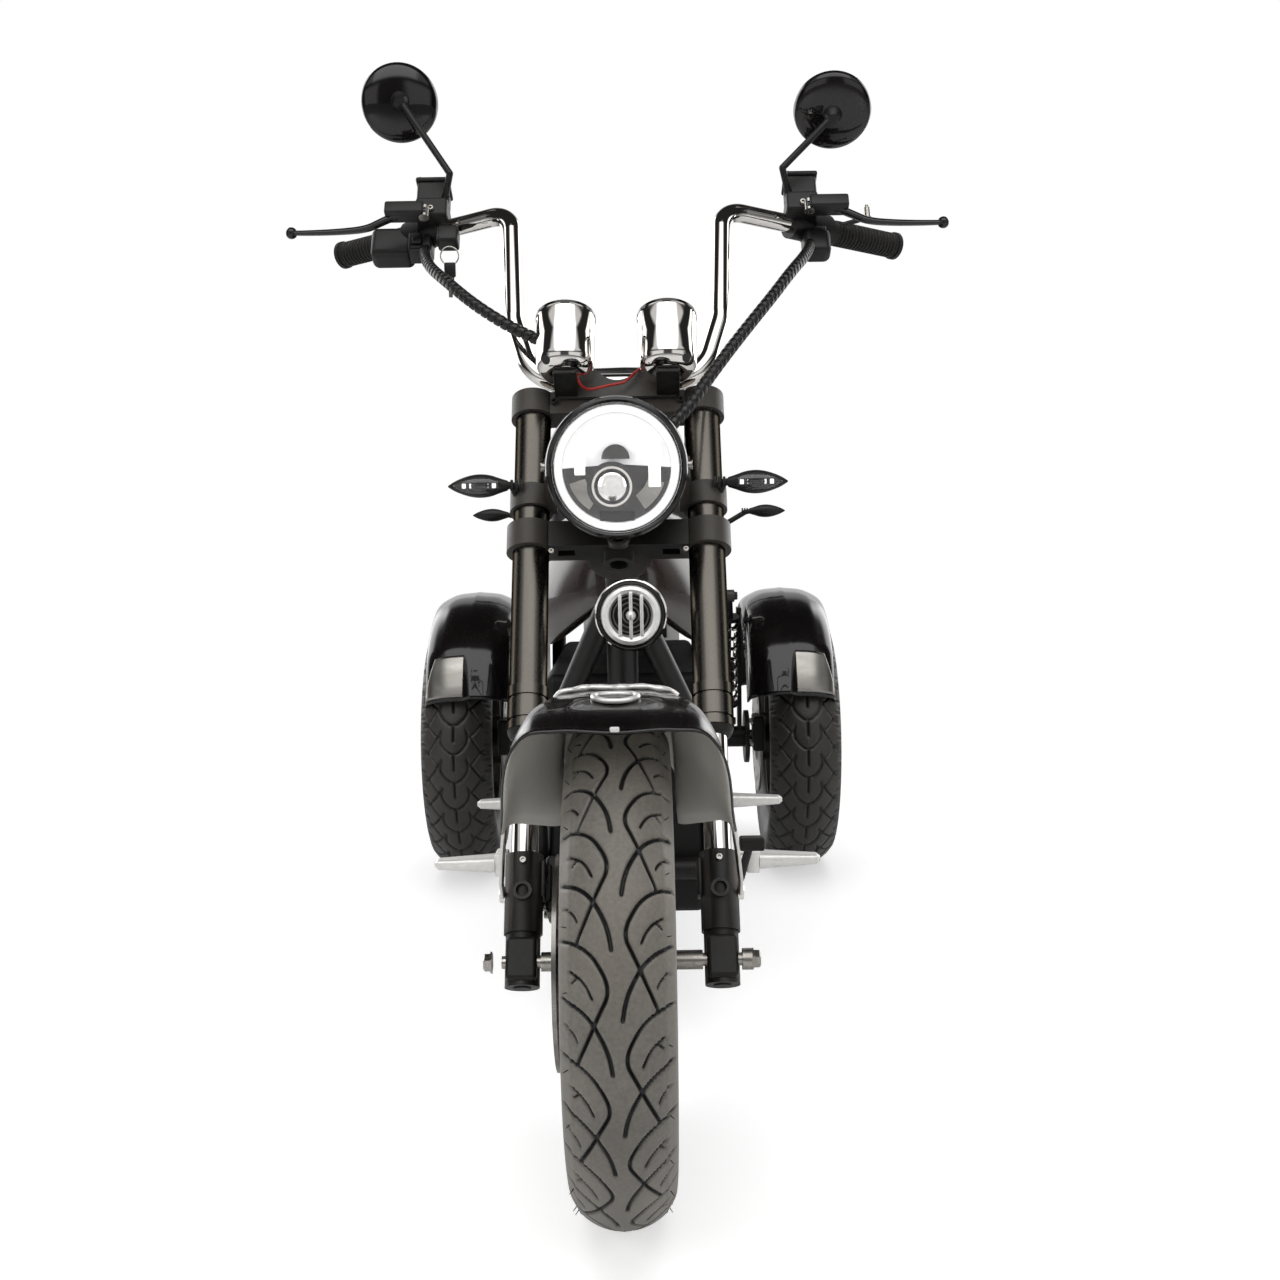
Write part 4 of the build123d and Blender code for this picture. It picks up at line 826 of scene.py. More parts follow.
class SCOOTER_OT_rear_mudguards(bpy.types.Operator):
    """Rear mudguards: crowned sheets with a bent front end that carries a polished plate"""
    bl_idname = "scooter.rear_mudguards"
    bl_label = "Rear mudguards"

    def execute(self, context):
        across = np.linspace(-1, 1, 61)
        share = np.abs(across)
        knots = (0, 0.5, 0.8, 1.0)
        width = np.sign(across) * through(knots, (0, 0.62, 0.94, 1.0), share)
        fall = through(knots, (0.0, 8.0, 25.0, 46.0), share)
        level = np.radians(np.concatenate([np.linspace(24, 44, 14, endpoint=False), np.linspace(44, 166, 90)]))

        def crease(at):
            """How far the bent front end lies below the arch."""
            return np.interp(at, np.radians([24, 42, 44]), (17.0, 1.2, 0.0))[:, None]

        for side in SIDES:
            x0 = side * (REAR_TRACK / 2 - 24.0)
            outer = np.clip((side * across + 0.05) / 0.12, 0, 1)
            radius = REAR_GUARD_RADIUS - fall - crease(level) * (0.35 + 0.65 * outer)
            points = round_axle(REAR_AXLE, x0 + REAR_GUARD_HALF * width, radius, level[:, None])
            guard = "rear_mudguard_" + SIDE_NAMES[side]
            shell = put(guard + "_sheet", [(grid(points), "gloss_black_enamel")], "chassis",
                        replaces=[guard], corner=50, away_from=(x0, *REAR_AXLE))
            sheet_wall(shell, 2.8, "satin_black_powder_coat")
            rise = np.radians(np.linspace(25.5, 41.0, 16))
            outer_edge = np.linspace(0.86, 0.60, 16)[:, None]
            part = 0.06 + (outer_edge - 0.06) * np.linspace(0, 1, 30)
            skin = REAR_GUARD_RADIUS + 1.6 - np.interp(part, share[30:], fall[30:]) - crease(rise)
            place = x0 + REAR_GUARD_HALF * side * np.interp(part, share[30:], np.abs(width[30:]))
            plate = round_axle(REAR_AXLE, place, skin, rise[:, None])
            trim = put("mudguard_plate_" + SIDE_NAMES[side], [(grid(plate), "ground_stainless_steel")], "chassis",
                       away_from=(x0, *REAR_AXLE))
            sheet_wall(trim, 1.0)
            screws = []
            for y, z in ((REAR_AXLE[0] - 8, 458), (REAR_AXLE[0] + 8, 458), (REAR_AXLE[0], 430)):
                screws += bolt((side * (REAR_TRACK / 2 - 104.2), y, z), (-side, 0, 0), 4.5, 4.0)
            put("stay_screws_" + SIDE_NAMES[side], [(screws, "zinc_plated_steel")], "chassis")
        return {"FINISHED"}


TANK_ROWS = np.array((
    # behind the front axle, half width, low edge, widest level, top, tunnel roof
    (358.0, 38.0, 542.0, 572.0, 610.0, 558.0),
    (372.0, 52.0, 534.0, 570.0, 618.0, 555.0),
    (430.0, 97.0, 500.0, 562.0, 641.0, 545.0),
    (540.0, 118.5, 488.0, 556.0, 656.0, 535.0),
    (652.0, 104.0, 505.0, 560.0, 641.0, 535.0),
))


class SCOOTER_OT_body_cover(bpy.types.Operator):
    """Body cover, shaped like a tank, and the side covers under the seat"""
    bl_idname = "scooter.body_cover"
    bl_label = "Body cover"

    def execute(self, context):
        back = np.linspace(TANK_ROWS[0, 0], TANK_ROWS[-1, 0], 60)
        half, low, wide, top, roof = through(TANK_ROWS[:, 0], TANK_ROWS[:, 1:], back).T
        right_x = half[:, None] * (0, 0.66, 1.0, 0.86, 0.0)
        right_z = np.stack([top, top - 13, wide, low, roof], -1)
        turned = []
        for right, mirror in ((right_x, -1), (right_z, 1)):
            loop = np.concatenate([right, mirror * right[:, 3:0:-1]], 1)
            loop = np.concatenate([loop[:, -2:], loop, loop[:, :3]], 1)
            turned.append(through(np.arange(13.0), loop.T, np.linspace(0, 8, 72, endpoint=False) + 2).T)
        ends = np.clip(np.minimum((back - 356) / 10, (654 - back) / 10), 0, 1) ** 0.5
        shrink = (0.72 + 0.28 * ends)[:, None]
        middle = ((top + low) / 2)[:, None]
        points = xyz(turned[0] * shrink, behind(back)[:, None], middle + (turned[1] - middle) * shrink)
        # the body cover's warm brown is a painted reflection
        put("body_cover_shell", [(closed(points), "black_enamel_painted_warm_reflection")], "chassis",
            replaces=["body_cover"], corner=60)
        low, high = (np.array(corner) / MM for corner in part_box("side_covers"))
        inner = high[0] - 30.0

        def thinner(points):
            """The block's points drawn towards the rail, and least at the block's middle."""
            share = 2 * (points[:, :, 1:] - (low + high)[1:] / 2) / (high - low)[1:]
            swell = 1 - 0.5 * np.clip((share ** 2).sum(-1), 0, 1)
            x = np.abs(points[..., 0])
            return xyz(np.sign(points[..., 0]) * (inner + (x - inner) * 0.42 * swell), points[..., 1], points[..., 2])

        covers = [block((side * inner, *low[1:]), (side * high[0], *high[1:]), 10.0, 5, thinner) for side in SIDES]
        put("side_cover_panels", [(covers, "gloss_black_enamel")], "chassis", replaces=["side_covers"],
            corner=60)
        return {"FINISHED"}


# Lamps
def ring_of(centre, axis, inner, outer, front, back, sides=72):
    """A flat ring with square edges, as one closed loop carried round the axis."""
    profile = [(front, inner), (front, outer), (back, outer), (back, inner)]
    points, _ = lathe(profile, centre, axis, sides)
    return grid(points.reshape(4, sides, 3), wrap_rows=True, wrap_columns=True)


class SCOOTER_OT_headlight(bpy.types.Operator):
    """Headlight: shell, halo ring, reflector painted white above and dark below as painted reflections, projector,
    lamp strips and a domed lens
    """
    bl_idname = "scooter.headlight"
    bl_label = "Headlight"

    def execute(self, context):
        lamps = context.scene.scooter_lamps
        outer = lamps.halo_outer / MM
        inner = lamps.halo_inner / MM
        back = (0, 1, 0)
        turn = np.linspace(0, np.pi / 2, 9)
        bowl = [(1.5, 65.6), (0.0, 66.4), (-1.2, 68.8), (-0.4, 71.6), (3.0, 73.0), (22.0, 73.0), (24.5, 71.5),
                (25.0, 69.5), (28.0, 69.2)]
        bowl += list(zip(28 + 57 * np.sin(turn), 69.2 * np.cos(turn) ** 0.62))
        bowl += [(85.0, 0.0)]
        put("headlight_bucket", [(lathe([(12.0, 0.0), (12.0, 66.5)] + bowl, HEADLIGHT, back, 96),
                                  "gloss_black_enamel")], "steering", replaces=["headlight_shell"])
        face = np.array(HEADLIGHT)
        halo = lathe([(11.0, inner), (7.4, inner + 1.4), (6.4, (inner + outer) / 2), (7.4, outer - 1.0),
                      (11.0, outer)], HEADLIGHT, back, 96)
        put("headlight_halo", [(halo, "opal_light_guide")], "steering")

        radius = np.linspace(0.0, inner, 22)[:, None]
        angle = np.linspace(0, np.pi, 61)
        dish = []
        # painted reflection: the upper half is white for the bright sky, the lower half dark for the ground
        for start, finish in ((0.0, "reflector_painted_bright_reflection"), (np.pi, "smoked_bezel_and_painted_dark_reflection")):
            spread = angle + start
            skin = xyz(radius * np.cos(spread), 11.2 - 3.0 * (radius / inner) ** 2,
                       radius * np.sin(spread) * 0.999 + 4.0 * (1 - radius / inner))
            dish.append((grid(skin + face), finish))
        put("headlight_reflector", dish, "steering")
        eye = face + (-5.0, 0, -19.0)
        parts = [
            ([ring_of(eye, back, 20.6, 25.5, 3.2, 9.5), ring_of(eye, back, 16.8, 18.2, 2.2, 8.5)], "smoked_bezel_and_painted_dark_reflection"),
            ([ring_of(eye, back, 18.2, 20.6, 2.0, 9.0)], "chrome_plate"),
            ([lathe([(8.0, 0), (8.0, 17.0), (5.0, 16.6), (2.2, 13.0), (0.8, 7.5), (0.4, 0)], eye, back, 40)],
             "metallised_reflector"),
        ]
        put("headlight_projector", parts, "steering")
        strips = [block(face + (-43.0, 4.0, -7.0), face + (-32.0, 9.0, 15.0), 1.0, 2),
                  block(face + (32.5, 4.0, -20.0), face + (45.0, 9.0, 28.0), 1.0, 2)]
        wedge = block(face + (-18.0, 5.0, -54.0), face + (18.0, 9.0, -44.0), 1.2, 2)
        panels = []
        for start, end in ((198, 236), (304, 342)):
            sweep = np.radians(np.linspace(start, end, 16))
            reach = np.linspace(34.0, 51.0, 6)[:, None]
            panels.append(grid(face + xyz(reach * np.cos(sweep), 7.4 - 2.2 * (reach / 51.0), reach * np.sin(sweep))))
        hood = face + (-1.0, 6.0, 9.0)
        arch = np.radians(np.linspace(0, 180, 24))
        cap = np.linspace(0.05, 1.0, 6)[:, None]
        shroud = grid(hood + xyz(14.5 * cap * np.cos(arch), -3.0 * (1 - cap ** 2), 15.0 * cap * np.sin(arch)))
        put("headlight_strips", [(strips, "opal_light_guide"), ([wedge], "moulded_black_abs"),
                                 (panels, "ground_stainless_steel"), ([shroud], "smoked_bezel_and_painted_dark_reflection")], "steering")
        dome = np.linspace(0, 1, 12)
        front = -4.5 * np.cos(dome * np.pi / 2)
        profile = list(zip(front + 0.5, 66.2 * np.sin(dome * np.pi / 2)))
        back_side = [(z + 2.2, r * 0.985) for z, r in profile[::-1]]
        put("headlight_dome", [(lathe(profile + [(3.0, 66.2)] + back_side, HEADLIGHT, back, 96),
                                "clear_polycarbonate")], "steering", replaces=["headlight_lens"])
        screws = []
        for side in SIDES:
            screws += screw(face + (side * 73.0, 16.0, 2.0), (side, 0, 0), 5.0, 5.0)
        put("headlight_screws", [(screws, "zinc_plated_steel")], "steering")
        return {"FINISHED"}


def signal_pod(side, root, length, height, depth, lens_front):
    """A leaf-shaped lamp body along X from root outwards, and the lens set into one side of it."""
    along = np.linspace(0, 1, 40)
    leaf = through((0, 0.12, 0.30, 0.50, 0.75, 0.93, 1.0), (0.42, 0.62, 0.92, 1.0, 0.72, 0.30, 0.06), along)
    angle = turns(32)
    up = bent(np.sin(angle), 0.9)
    out = bent(np.cos(angle), 0.9)
    leaf = leaf[:, None]
    body = root + xyz(side * length * along[:, None], depth / 2 * leaf * out, height / 2 * leaf * up)
    part = np.linspace(0.13, 0.90, 32)
    size = through((0.13, 0.2, 0.45, 0.75, 0.90), (0.30, 0.52, 0.66, 0.46, 0.08), part)
    v = np.linspace(-1, 1, 15)
    size = size[:, None]
    width = np.interp(part, along, leaf[:, 0])[:, None]
    bulge = depth / 2 * width * np.sqrt(np.maximum(1 - (size * v / np.maximum(width, 0.05)) ** 2, 0.02))
    lens = root + xyz(side * length * part[:, None], lens_front * (bulge + 0.9), height / 2 * size * v)
    return closed(body), grid(lens)


class SCOOTER_OT_turn_signals(bpy.types.Operator):
    """Four turn signals: leaf-shaped lamps on ribbed rubber stalks, clear in front and smoked behind"""
    bl_idname = "scooter.turn_signals"
    bl_label = "Turn signals"

    def execute(self, context):
        def ribs_of(root, side, radius, thickness, gap, pitch):
            """Three round ribs of a rubber stalk, gap mm inwards from root and pitch mm apart."""
            profile = [(0, 0), (0, radius), (thickness, radius), (thickness, 0)]
            return [lathe(profile, root - np.array((side * (gap + pitch * k), 0, 0)), (-side, 0, 0), 24)
                    for k in range(3)]

        for side in SIDES:
            root = steered((side * (LEG_X + 24), -20, 498)) + (0, 0, 10)
            pod, lens = signal_pod(side, root, 64.0, 25.0, 21.0, -1)
            start = np.array((side * (LEG_X + 19), root[1] + 1, root[2]))
            ribs = ribs_of(root, side, 6.2, 2.6, 3.0, 5.0)
            stem = tube(np.array([root + (side * 1, 0, 0), start, steered((side * (LEG_X + 12), -6, 498))]), 4.6, 14)
            leds = [block(root + (side * x - 2.2, -9.8, -2.6), root + (side * x + 2.2, -8.2, 2.6), 0.4, 1)
                    for x in range(14, 54, 8)]
            put("front_signal_" + SIDE_NAMES[side],
                [(pod, "moulded_black_abs"), (ribs + [stem], "moulded_rubber"), (leds, "opal_light_guide")],
                "steering", replaces=["front_signals"])
            cover = put("front_signal_lens_" + SIDE_NAMES[side], [(lens, "clear_polycarbonate")], "steering",
                        away_from=root)
            sheet_wall(cover, 0.9)
            place = np.array((side * 228.0, behind(1440), 648.0))
            pod, lens = signal_pod(side, place, 68.0, 24.0, 21.0, 1)
            ribs = ribs_of(place, side, 6.0, 2.4, 2.5, 4.6)
            stem = tube(np.array([(side * 100.0, 754, 580), (side * 150, 754, 606), (side * 196, 754, 632),
                                  (side * 222, 754, 647)]), 5.0, 14)
            stub = tube(np.array([(side * 218, 754, 646), (side * 232, 754, 648)]), 4.6, 12)
            put("rear_signal_" + SIDE_NAMES[side],
                [(pod, "moulded_black_abs"), (ribs + [stub], "moulded_rubber"), (stem, "satin_black_powder_coat")],
                "chassis", replaces=["rear_signals"])
            cover = put("rear_signal_lens_" + SIDE_NAMES[side], [(lens, "smoked_amber_lens")], "chassis",
                        away_from=place)
            sheet_wall(cover, 0.9)
        return {"FINISHED"}


class SCOOTER_OT_horn(bpy.types.Operator):
    """Horn: black body, chrome bezel, stepped trumpet, three bars and a ball"""
    bl_idname = "scooter.horn"
    bl_label = "Horn"

    def execute(self, context):
        centre = np.array(HORN)
        back = (0, 1, 0)
        body = lathe([(4, 0), (4, 31), (0.8, 33), (0, 35), (1.5, 37), (6, 37.4), (12, 36.5), (16, 32), (18, 24),
                      (34, 22), (34, 0)], centre, back, 72)
        bezel = lathe([(4, 31.6), (-1.5, 31.4), (-4.2, 30.4), (-5.4, 27.0), (-4.0, 23.4), (1.0, 21.0)], centre, back,
                      72)
        trumpet = [ring_of(centre, back, r, r + 1.4, f, f + 3) for r, f in ((17.5, 0.0), (12.5, 1.0), (7.8, 1.4))]
        cone = lathe([(3.6, 0), (3.6, 8), (3.2, 14), (2.6, 22)], centre, back, 48)
        bars = [block(centre + (x - 1.9, -6.4, -reach), centre + (x + 1.9, -3.4, reach), 0.9, 2)
                for x, reach in ((-11.2, 21.0), (0.0, 24.0), (11.2, 21.0))]
        ball = lathe([(-9.8, 0), (-9.4, 2.2), (-8.0, 4.2), (-6.0, 5.2), (-4.0, 4.6), (-3.0, 0)], centre, back, 24)
        crescent = lathe([(2.0, 35.4), (0.4, 36.2), (1.0, 37.4), (5.0, 38.0), (5.0, 36.0)], centre, back, 72)
        rod = tube(np.array([(0, -476, 526), (0, -420, 519), (0, -356, 516)]), 6.0, 14)
        plate = block((-10, -480, 516), (14, -474, 556), 1.5, 2)
        put("horn_unit", [(body, "gloss_black_enamel"), ([bezel] + bars + [ball], "bead_blasted_chrome"),
                          ([crescent], "chrome_plate"),
                          (trumpet, "ground_stainless_steel"), (cone, "moulded_black_abs"),
                          ([rod, plate], "zinc_plated_steel")], "chassis", replaces=["horn"])
        return {"FINISHED"}


# Controls
class SCOOTER_OT_dials(bpy.types.Operator):
    """Dial cups with their bezels, printed faces, needles and glasses, and the red wire between them"""
    bl_idname = "scooter.dials"
    bl_label = "Dials"

    def execute(self, context):
        turn = np.linspace(0, np.pi / 2, 7)
        shell, bezel, face, printed, glass, holes, bracket = [], [], [], [], [], [], []
        for side in SIDES:
            origin = steered((side * CUP_PLACE[0], CUP_PLACE[1], CUP_SEAT))
            low = [(-13, 0)] + list(zip(4 - 17 * np.cos(turn), 15 + 17 * np.sin(turn)))
            shell.append(lathe(low + [(30, 32.3), (59.5, 32.0), (61.2, 33.0), (61.2, 0)], origin, UP, 72))
            bezel.append(ring_of(origin, UP, 29.0, 33.2, 61.0, 64.2))
            bezel.append(lathe([(59.4, 0), (59.4, 29.5), (57, 29.5), (57, 0)], origin, UP, 48))
            face.append(lathe([(60.4, 0), (60.4, 29.2), (60.0, 29.2), (60.0, 0)], origin, UP, 48))
            glass.append(lathe([(64.6, 0), (64.4, 15), (63.6, 29.2), (62.8, 29.2), (63.6, 15), (63.8, 0)], origin, UP,
                               48))
            x, y = side * CUP_PLACE[0], CUP_PLACE[1]

            def stroke(angle, ends, level, radius):
                """A printed line on the dial at an angle from its front, between two distances from its middle."""
                line = [(x + r * math.sin(angle), y - r * math.cos(angle), CUP_SEAT + level) for r in ends]
                printed.append(tube(steered(line), radius, 6, (0.3, 0.5, 0.8)))

            for number in range(25):
                stroke(math.radians(-130 + 260 * number / 24), (24.0 if number % 3 else 21.5, 26.8), 60.7, 0.45)
            stroke(-2.1, (-5, 22), 61.4, (0.9, 0.4))
            printed.append(lathe([(60.4, 0), (60.4, 3.2), (62.4, 2.8), (62.4, 0)], origin, UP, 20))
            holes.append(lathe([(-0.8, 0), (-0.8, 5.2), (0.7, 5.2), (0.7, 0)],
                               steered((side * (CUP_PLACE[0] + 19.5), y - 20.5, CUP_SEAT - 5.5)),
                               steered((side * 0.56, -0.58, -0.59)) - steered((0, 0, 0)), 24))
            riser = side * 46
            bracket.append(block((x - 13, -66, CUP_SEAT - 19), (x + 13, -18, CUP_SEAT - 13), 2.0, 3, steered))
            bracket.append(block((riser - 15, -17, CUP_SEAT - 8), (riser + 15, 17, CUP_SEAT + 28), 4.0, 3, steered))
        put("dial_cup_shells", [(shell, "chrome_plate"), (bezel + holes, "gloss_black_enamel")], "steering",
            replaces=["dial_cups"])
        across = np.linspace(-66, 66, 67)
        crest = CUP_SEAT + 2 + 15 * np.minimum((across / 25) ** 2, 1.2)
        foot = CUP_SEAT - 20
        section = ((-22, foot), (-22, crest), (-18, crest), (-18, foot))
        walls = np.stack([xyz(across, back, level) for back, level in section], 1)
        bracket.append(closed(steered(walls)))
        put("dial_bracket", [(bracket, "cast_black_aluminium")], "steering", replaces=["bar_clamp"])
        put("dial_cards", [(face, "black_dial_card"), (printed, "white_dial_print")], "steering",
            replaces=["dial_faces"])
        put("dial_glasses", [(glass, "clear_polycarbonate")], "steering")
        wire = nurbs(steered([(-44, -52, CUP_SEAT - 13), (-39, -46, CUP_SEAT - 23), (-30, -38, CUP_SEAT - 22),
                              (-8, -34, CUP_SEAT - 13), (9, -32, CUP_SEAT - 9), (20, -30, CUP_SEAT + 6),
                              (27, -24, CUP_SEAT + 17)]), 60)
        put("dial_wire", [(tube(wire, 1.5, 8), "red_wire_insulation")], "steering")
        return {"FINISHED"}


def bar_run(side, start, ahead=0.0, up=0.0):
    """Points along the outer end of the handlebar, start mm from its end, in the steered frame."""
    inward = (BAR_KNEE - BAR_END) / np.linalg.norm(BAR_KNEE - BAR_END)
    spot = BAR_END + np.multiply.outer(np.asarray(start, float), inward)
    return (spot + (0, -ahead, up)) * (side, 1, 1)


class SCOOTER_OT_grips(bpy.types.Operator):
    """Ribbed rubber grips"""
    bl_idname = "scooter.grips"
    bl_label = "Grips"

    def execute(self, context):
        for side in SIDES:
            start = np.linspace(-2, HOUSING_START, 229)
            radius = 15.3 + 0.7 * np.clip(np.sin(start * 2 * np.pi / 5.2) * 3, -1, 1) * ((start > 8) & (start < 100))
            radius = np.where((start < 4) | (start > 108), 17.4, radius)
            radius[0] = 14.5
            path = steered(bar_run(side, start))
            put("grip_" + SIDE_NAMES[side], [(tube(path, radius, 36), "moulded_rubber")], "steering",
                replaces=["grips"] if side > 0 else (), corner=50)
        return {"FINISHED"}


class SCOOTER_OT_levers(bpy.types.Operator):
    """Brake levers: flat curved blades that thin outwards and end in a ball"""
    bl_idname = "scooter.levers"
    bl_label = "Levers"

    def execute(self, context):
        rows = np.array(((233, 30, 929), (252, 31, 929), (272, 34, 926), (290, 38, 920), (308, 43, 914),
                         (340, 48, 915), (380, 53, 918), (404, 56, 921)), float)
        blades = []
        for side in SIDES:
            line = nurbs(steered(rows * (side, 1, 1)), 90)
            share = np.linspace(0, 1, 90)
            size = through((0, 0.1, 0.3, 0.6, 0.9, 1.0), (7.4, 7.2, 6.6, 5.6, 4.6, 4.2), share)
            angle = turns(20)
            flat = 1 / np.sqrt((np.cos(angle) / 1.15) ** 2 + (np.sin(angle) / 0.72) ** 2)
            blades.append(tube(line, size[:, None] * flat[None, :], 20))
            polar = np.linspace(0, np.pi, 13)
            blades.append(lathe(list(zip(-7.3 * np.cos(polar), 7.3 * np.sin(polar))), line[-1], (side, 0, 0), 24))
        put("lever_blades", [(blades, "gloss_black_enamel")], "steering", replaces=["brake_levers"])
        return {"FINISHED"}


MIRRORS = (
    # side, head across and level in the steered frame, tilt back, turn
    (-1, 268.0, 1074.0, 8.0, 10.0),
    (1, 268.0, 1036.0, 34.0, -6.0),
)


class SCOOTER_OT_mirrors(bpy.types.Operator):
    """Mirror shells: domed gloss black discs with a flat, a rim, a knuckle and silvered glass"""
    bl_idname = "scooter.mirrors"
    bl_label = "Mirrors"

    def execute(self, context):
        shells, knuckles = [], []
        for side, across, level, tilt, turn in MIRRORS:
            origin = steered((side * across, -6, level))
            rotation = Matrix.Rotation(math.radians(turn), 3, "Z") @ Matrix.Rotation(math.radians(tilt), 3, "X")
            ahead = np.array(rotation @ Vector((0, -1, 0)))
            sideways = np.array(rotation @ Vector((1, 0, 0)))
            dome = np.linspace(0, np.pi / 2, 16)
            profile = [(-22.6, 0), (-22.6, 44.0), (-24.0, 45.0), (-24.6, 47.0), (-22.5, 48.3), (-19.5, 47.8)]
            profile += list(zip(-19.5 + 15.0 * np.sin(dome) ** 1.15, 47.6 * np.cos(dome) ** 0.8))
            shells.append(lathe(profile[:-1] + [(-4.5, 0)], origin, ahead, 72, sideways))
            ball = [(-6, 0), (-6, 12), (1.5, 10), (5, 8), (8, 5.5), (8, 0)]
            knuckles.append(lathe(ball, origin, ahead, 32, sideways))
            stem = steered(bar_run(side, HOUSING_START + 53, 8, 12))
            rise = steered((side * 204.0, 12, 972)) - stem
            knuckles.append(lathe([(0, 0), (0, 8.0), (16, 7.6), (18, 6.0), (30, 5.4), (31, 0)], stem, rise, 24))
            knuckles += bolt(stem - rise / np.linalg.norm(rise) * 4, rise, 8.0, 7.0)
        put("mirror_shells", [(shells, "gloss_black_enamel"), (knuckles, "moulded_black_abs")], "steering",
            replaces=["mirror_heads"])
        return {"FINISHED"}


class SCOOTER_OT_looms(bpy.types.Operator):
    """Wiring looms in spiral wrap: a tube whose radius steps along a helix"""
    bl_idname = "scooter.looms"
    bl_label = "Looms"

    def execute(self, context):
        for side, points in LOOM_POINTS.items():
            line = nurbs(steered(points), 420)
            length = distances(line)
            angle = turns(28)
            phase = (length[:, None] / 9.2 - angle[None, :] / (2 * np.pi)) % 1.0
            band = np.clip(np.minimum(phase, 0.84 - phase) / 0.10, 0, 1)
            radius = 5.5 + 1.35 * band ** 0.5
            name = "loom_" + SIDE_NAMES[side]
            put(name + "_wrap", [(tube(line, radius, 28), "spiral_wrap_polyethylene")], "steering",
                replaces=[name], corner=70)
        return {"FINISHED"}


SWITCH_PODS = (
    # side, distance from the end of the bar, how far below it, half size
    (-1, 90.0, 20, (27, 17, 22)),
    (1, 132.0, 36, (17, 14, 19)),
)


class SCOOTER_OT_controls(bpy.types.Operator):
    """Reservoir lids, switches, small red parts, clamp screws, the key and its ring"""
    bl_idname = "scooter.controls"
    bl_label = "Controls"

    def execute(self, context):
        lids, switches, reds, screws, keys = [], [], [], [], []
        for side in SIDES:
            x, y, z = bar_run(side, HOUSING_START + 42, 26, 10)
            lids.append(block((x - 21, y - 15, z + 37), (x + 21, y + 25, z + 43), 2.2, 2, steered))
            lids.append(block((x - 17, y - 11, z + 42), (x + 17, y + 21, z + 45), 1.4, 2, steered))
            for dx, dy in ((-16, -10), (16, 20)):
                screws += screw(steered((x + dx, y + dy, z + 43)), UP, 2.6, 1.8)
            screws += screw(steered((x, y - 14, z - 8)), AHEAD, 3.6, 4.0)
            screws += screw(steered((x + side * 24, y - 2, z - 10)), UP, 5.0, 5.0)
            panel = bar_run(side, HOUSING_START + 23, 4, -22)
            for low, high, edge in (((-10, -18, -8), (2, -13, 2), 1.5), ((3, -17, -11), (12, -13, 6), 1.2),
                                    ((-14, -15, -19), (14, 10, -13), 2.0)):
                switches.append(block(panel + low, panel + high, edge, 2, steered))
            middle = x + side * 22
            reds.append(block((middle - 4, y - 17, z - 20), (middle + 4, y - 11, z - 13), 1.2, 2, steered))
            screws.append(lathe([(-8, 0), (-8, 6.5), (8, 6.5), (8, 0)], steered((side * 236.0, 31.0, 928.0)), UP, 20))
        for side, start, below, size in SWITCH_PODS:
            middle = bar_run(side, start, 12, -below)
            switches.append(block(middle - size, middle + size, 9.0, 4, steered))
        for side in SIDES:
            switches.append(block((side * 236, 20, 921), (side * 284, 42, 939), 3.0, 3, steered))
            screws += screw(steered((side * 277, 30, 939)), UP, 4.5, 3.5)
        x, y, z = bar_run(1, 60.0, 44, -6)
        switches.append(tube(steered([(x - 26, y + 6, z - 4), (x, y, z), (x + 10, y, z + 1)]), 3.2, 10))
        screws.append(lathe([(0, 0), (0, 4.5), (16, 4.5), (16, 2.6), (21, 2.6), (21, 0)], steered((x + 6, y, z)), UP,
                            16))
        x, y, z = bar_run(-1, HOUSING_START + 64, 18, -30)
        lock = steered((x + 6, y, z))
        switches.append(block((x - 10, y - 12, z - 12), (x + 16, y + 12, z + 12), 4.0, 2, steered))
        angle = np.linspace(0, 2 * np.pi, 32, endpoint=False)
        ring = lock + xyz(11 * np.cos(angle), -16, -24 + 11 * np.sin(angle))
        keys.append(tube(ring, 0.9, 8, (0, 1, 0), wrap=True))
        keys.append(block(lock + (-2.2, -17, -74), lock + (2.6, -15.2, -38), 0.6, 1))
        keys.append(block(lock + (2.0, -17, -68), lock + (5.0, -15.2, -46), 0.5, 1))
        switches.append(block(lock + (-7, -19, -50), lock + (7, -13, -32), 2.4, 2))
        put("control_details", [(lids + switches, "moulded_black_abs"), (reds, "red_wire_insulation"),
                                (screws + keys, "zinc_plated_steel")], "steering")
        return {"FINISHED"}


# Fork, brakes and wheels
class SCOOTER_OT_fork_details(bpy.types.Operator):
    """Clamp bolts, leg caps, dust seals, the stem nut, foot plugs and axle nuts"""
    bl_idname = "scooter.fork_details"
    bl_label = "Fork details"

    def execute(self, context):
        steel, seals, caps = [], [], []
        for side in SIDES:
            x = side * LEG_X
            caps.append(lathe([(0, 0), (0, 19.0), (3, 19.0), (5, 17.0), (5, 0)], steered((x, 0, 632)), UP, 40))
            seals.append(lathe([(-9, 14.2), (-7.5, 17.5), (-3, 19.6), (0, 20.4), (0, 13.6), (-9, 13.6)],
                               steered((x, 0, 234)), UP, 40))
            steel += screw(steered((side * 71, -17.2, 430)), AHEAD, 3.0, 3.0)
            seals += screw(steered((side * 70, -15.2, 618)), AHEAD, 4.0, 4.0)
            steel += screw(steered((x, -18.4, 96)), AHEAD, 3.2, 3.0)
            seals.append(lathe([(-1.2, 0), (-1.2, 8.5), (0.6, 8.5), (0.6, 0)], steered((x, 0, -22)), UP, 24))
            steel += bolt((side * 121.6, *FRONT_AXLE), (side, 0, 0), 8.5, 8.0)
        steel += bolt(steered((0, 35, 632)), UP, 16.0, 9.0)
        seals.append(ring_of(steered((0, 0, 422)), UP, 10.0, 16.0, 0.0, 15.0, 48))
        put("fork_bolts", [(steel, "zinc_plated_steel"), (seals, "moulded_rubber"), (caps, "turned_black_tube")],
            "steering")
        return {"FINISHED"}


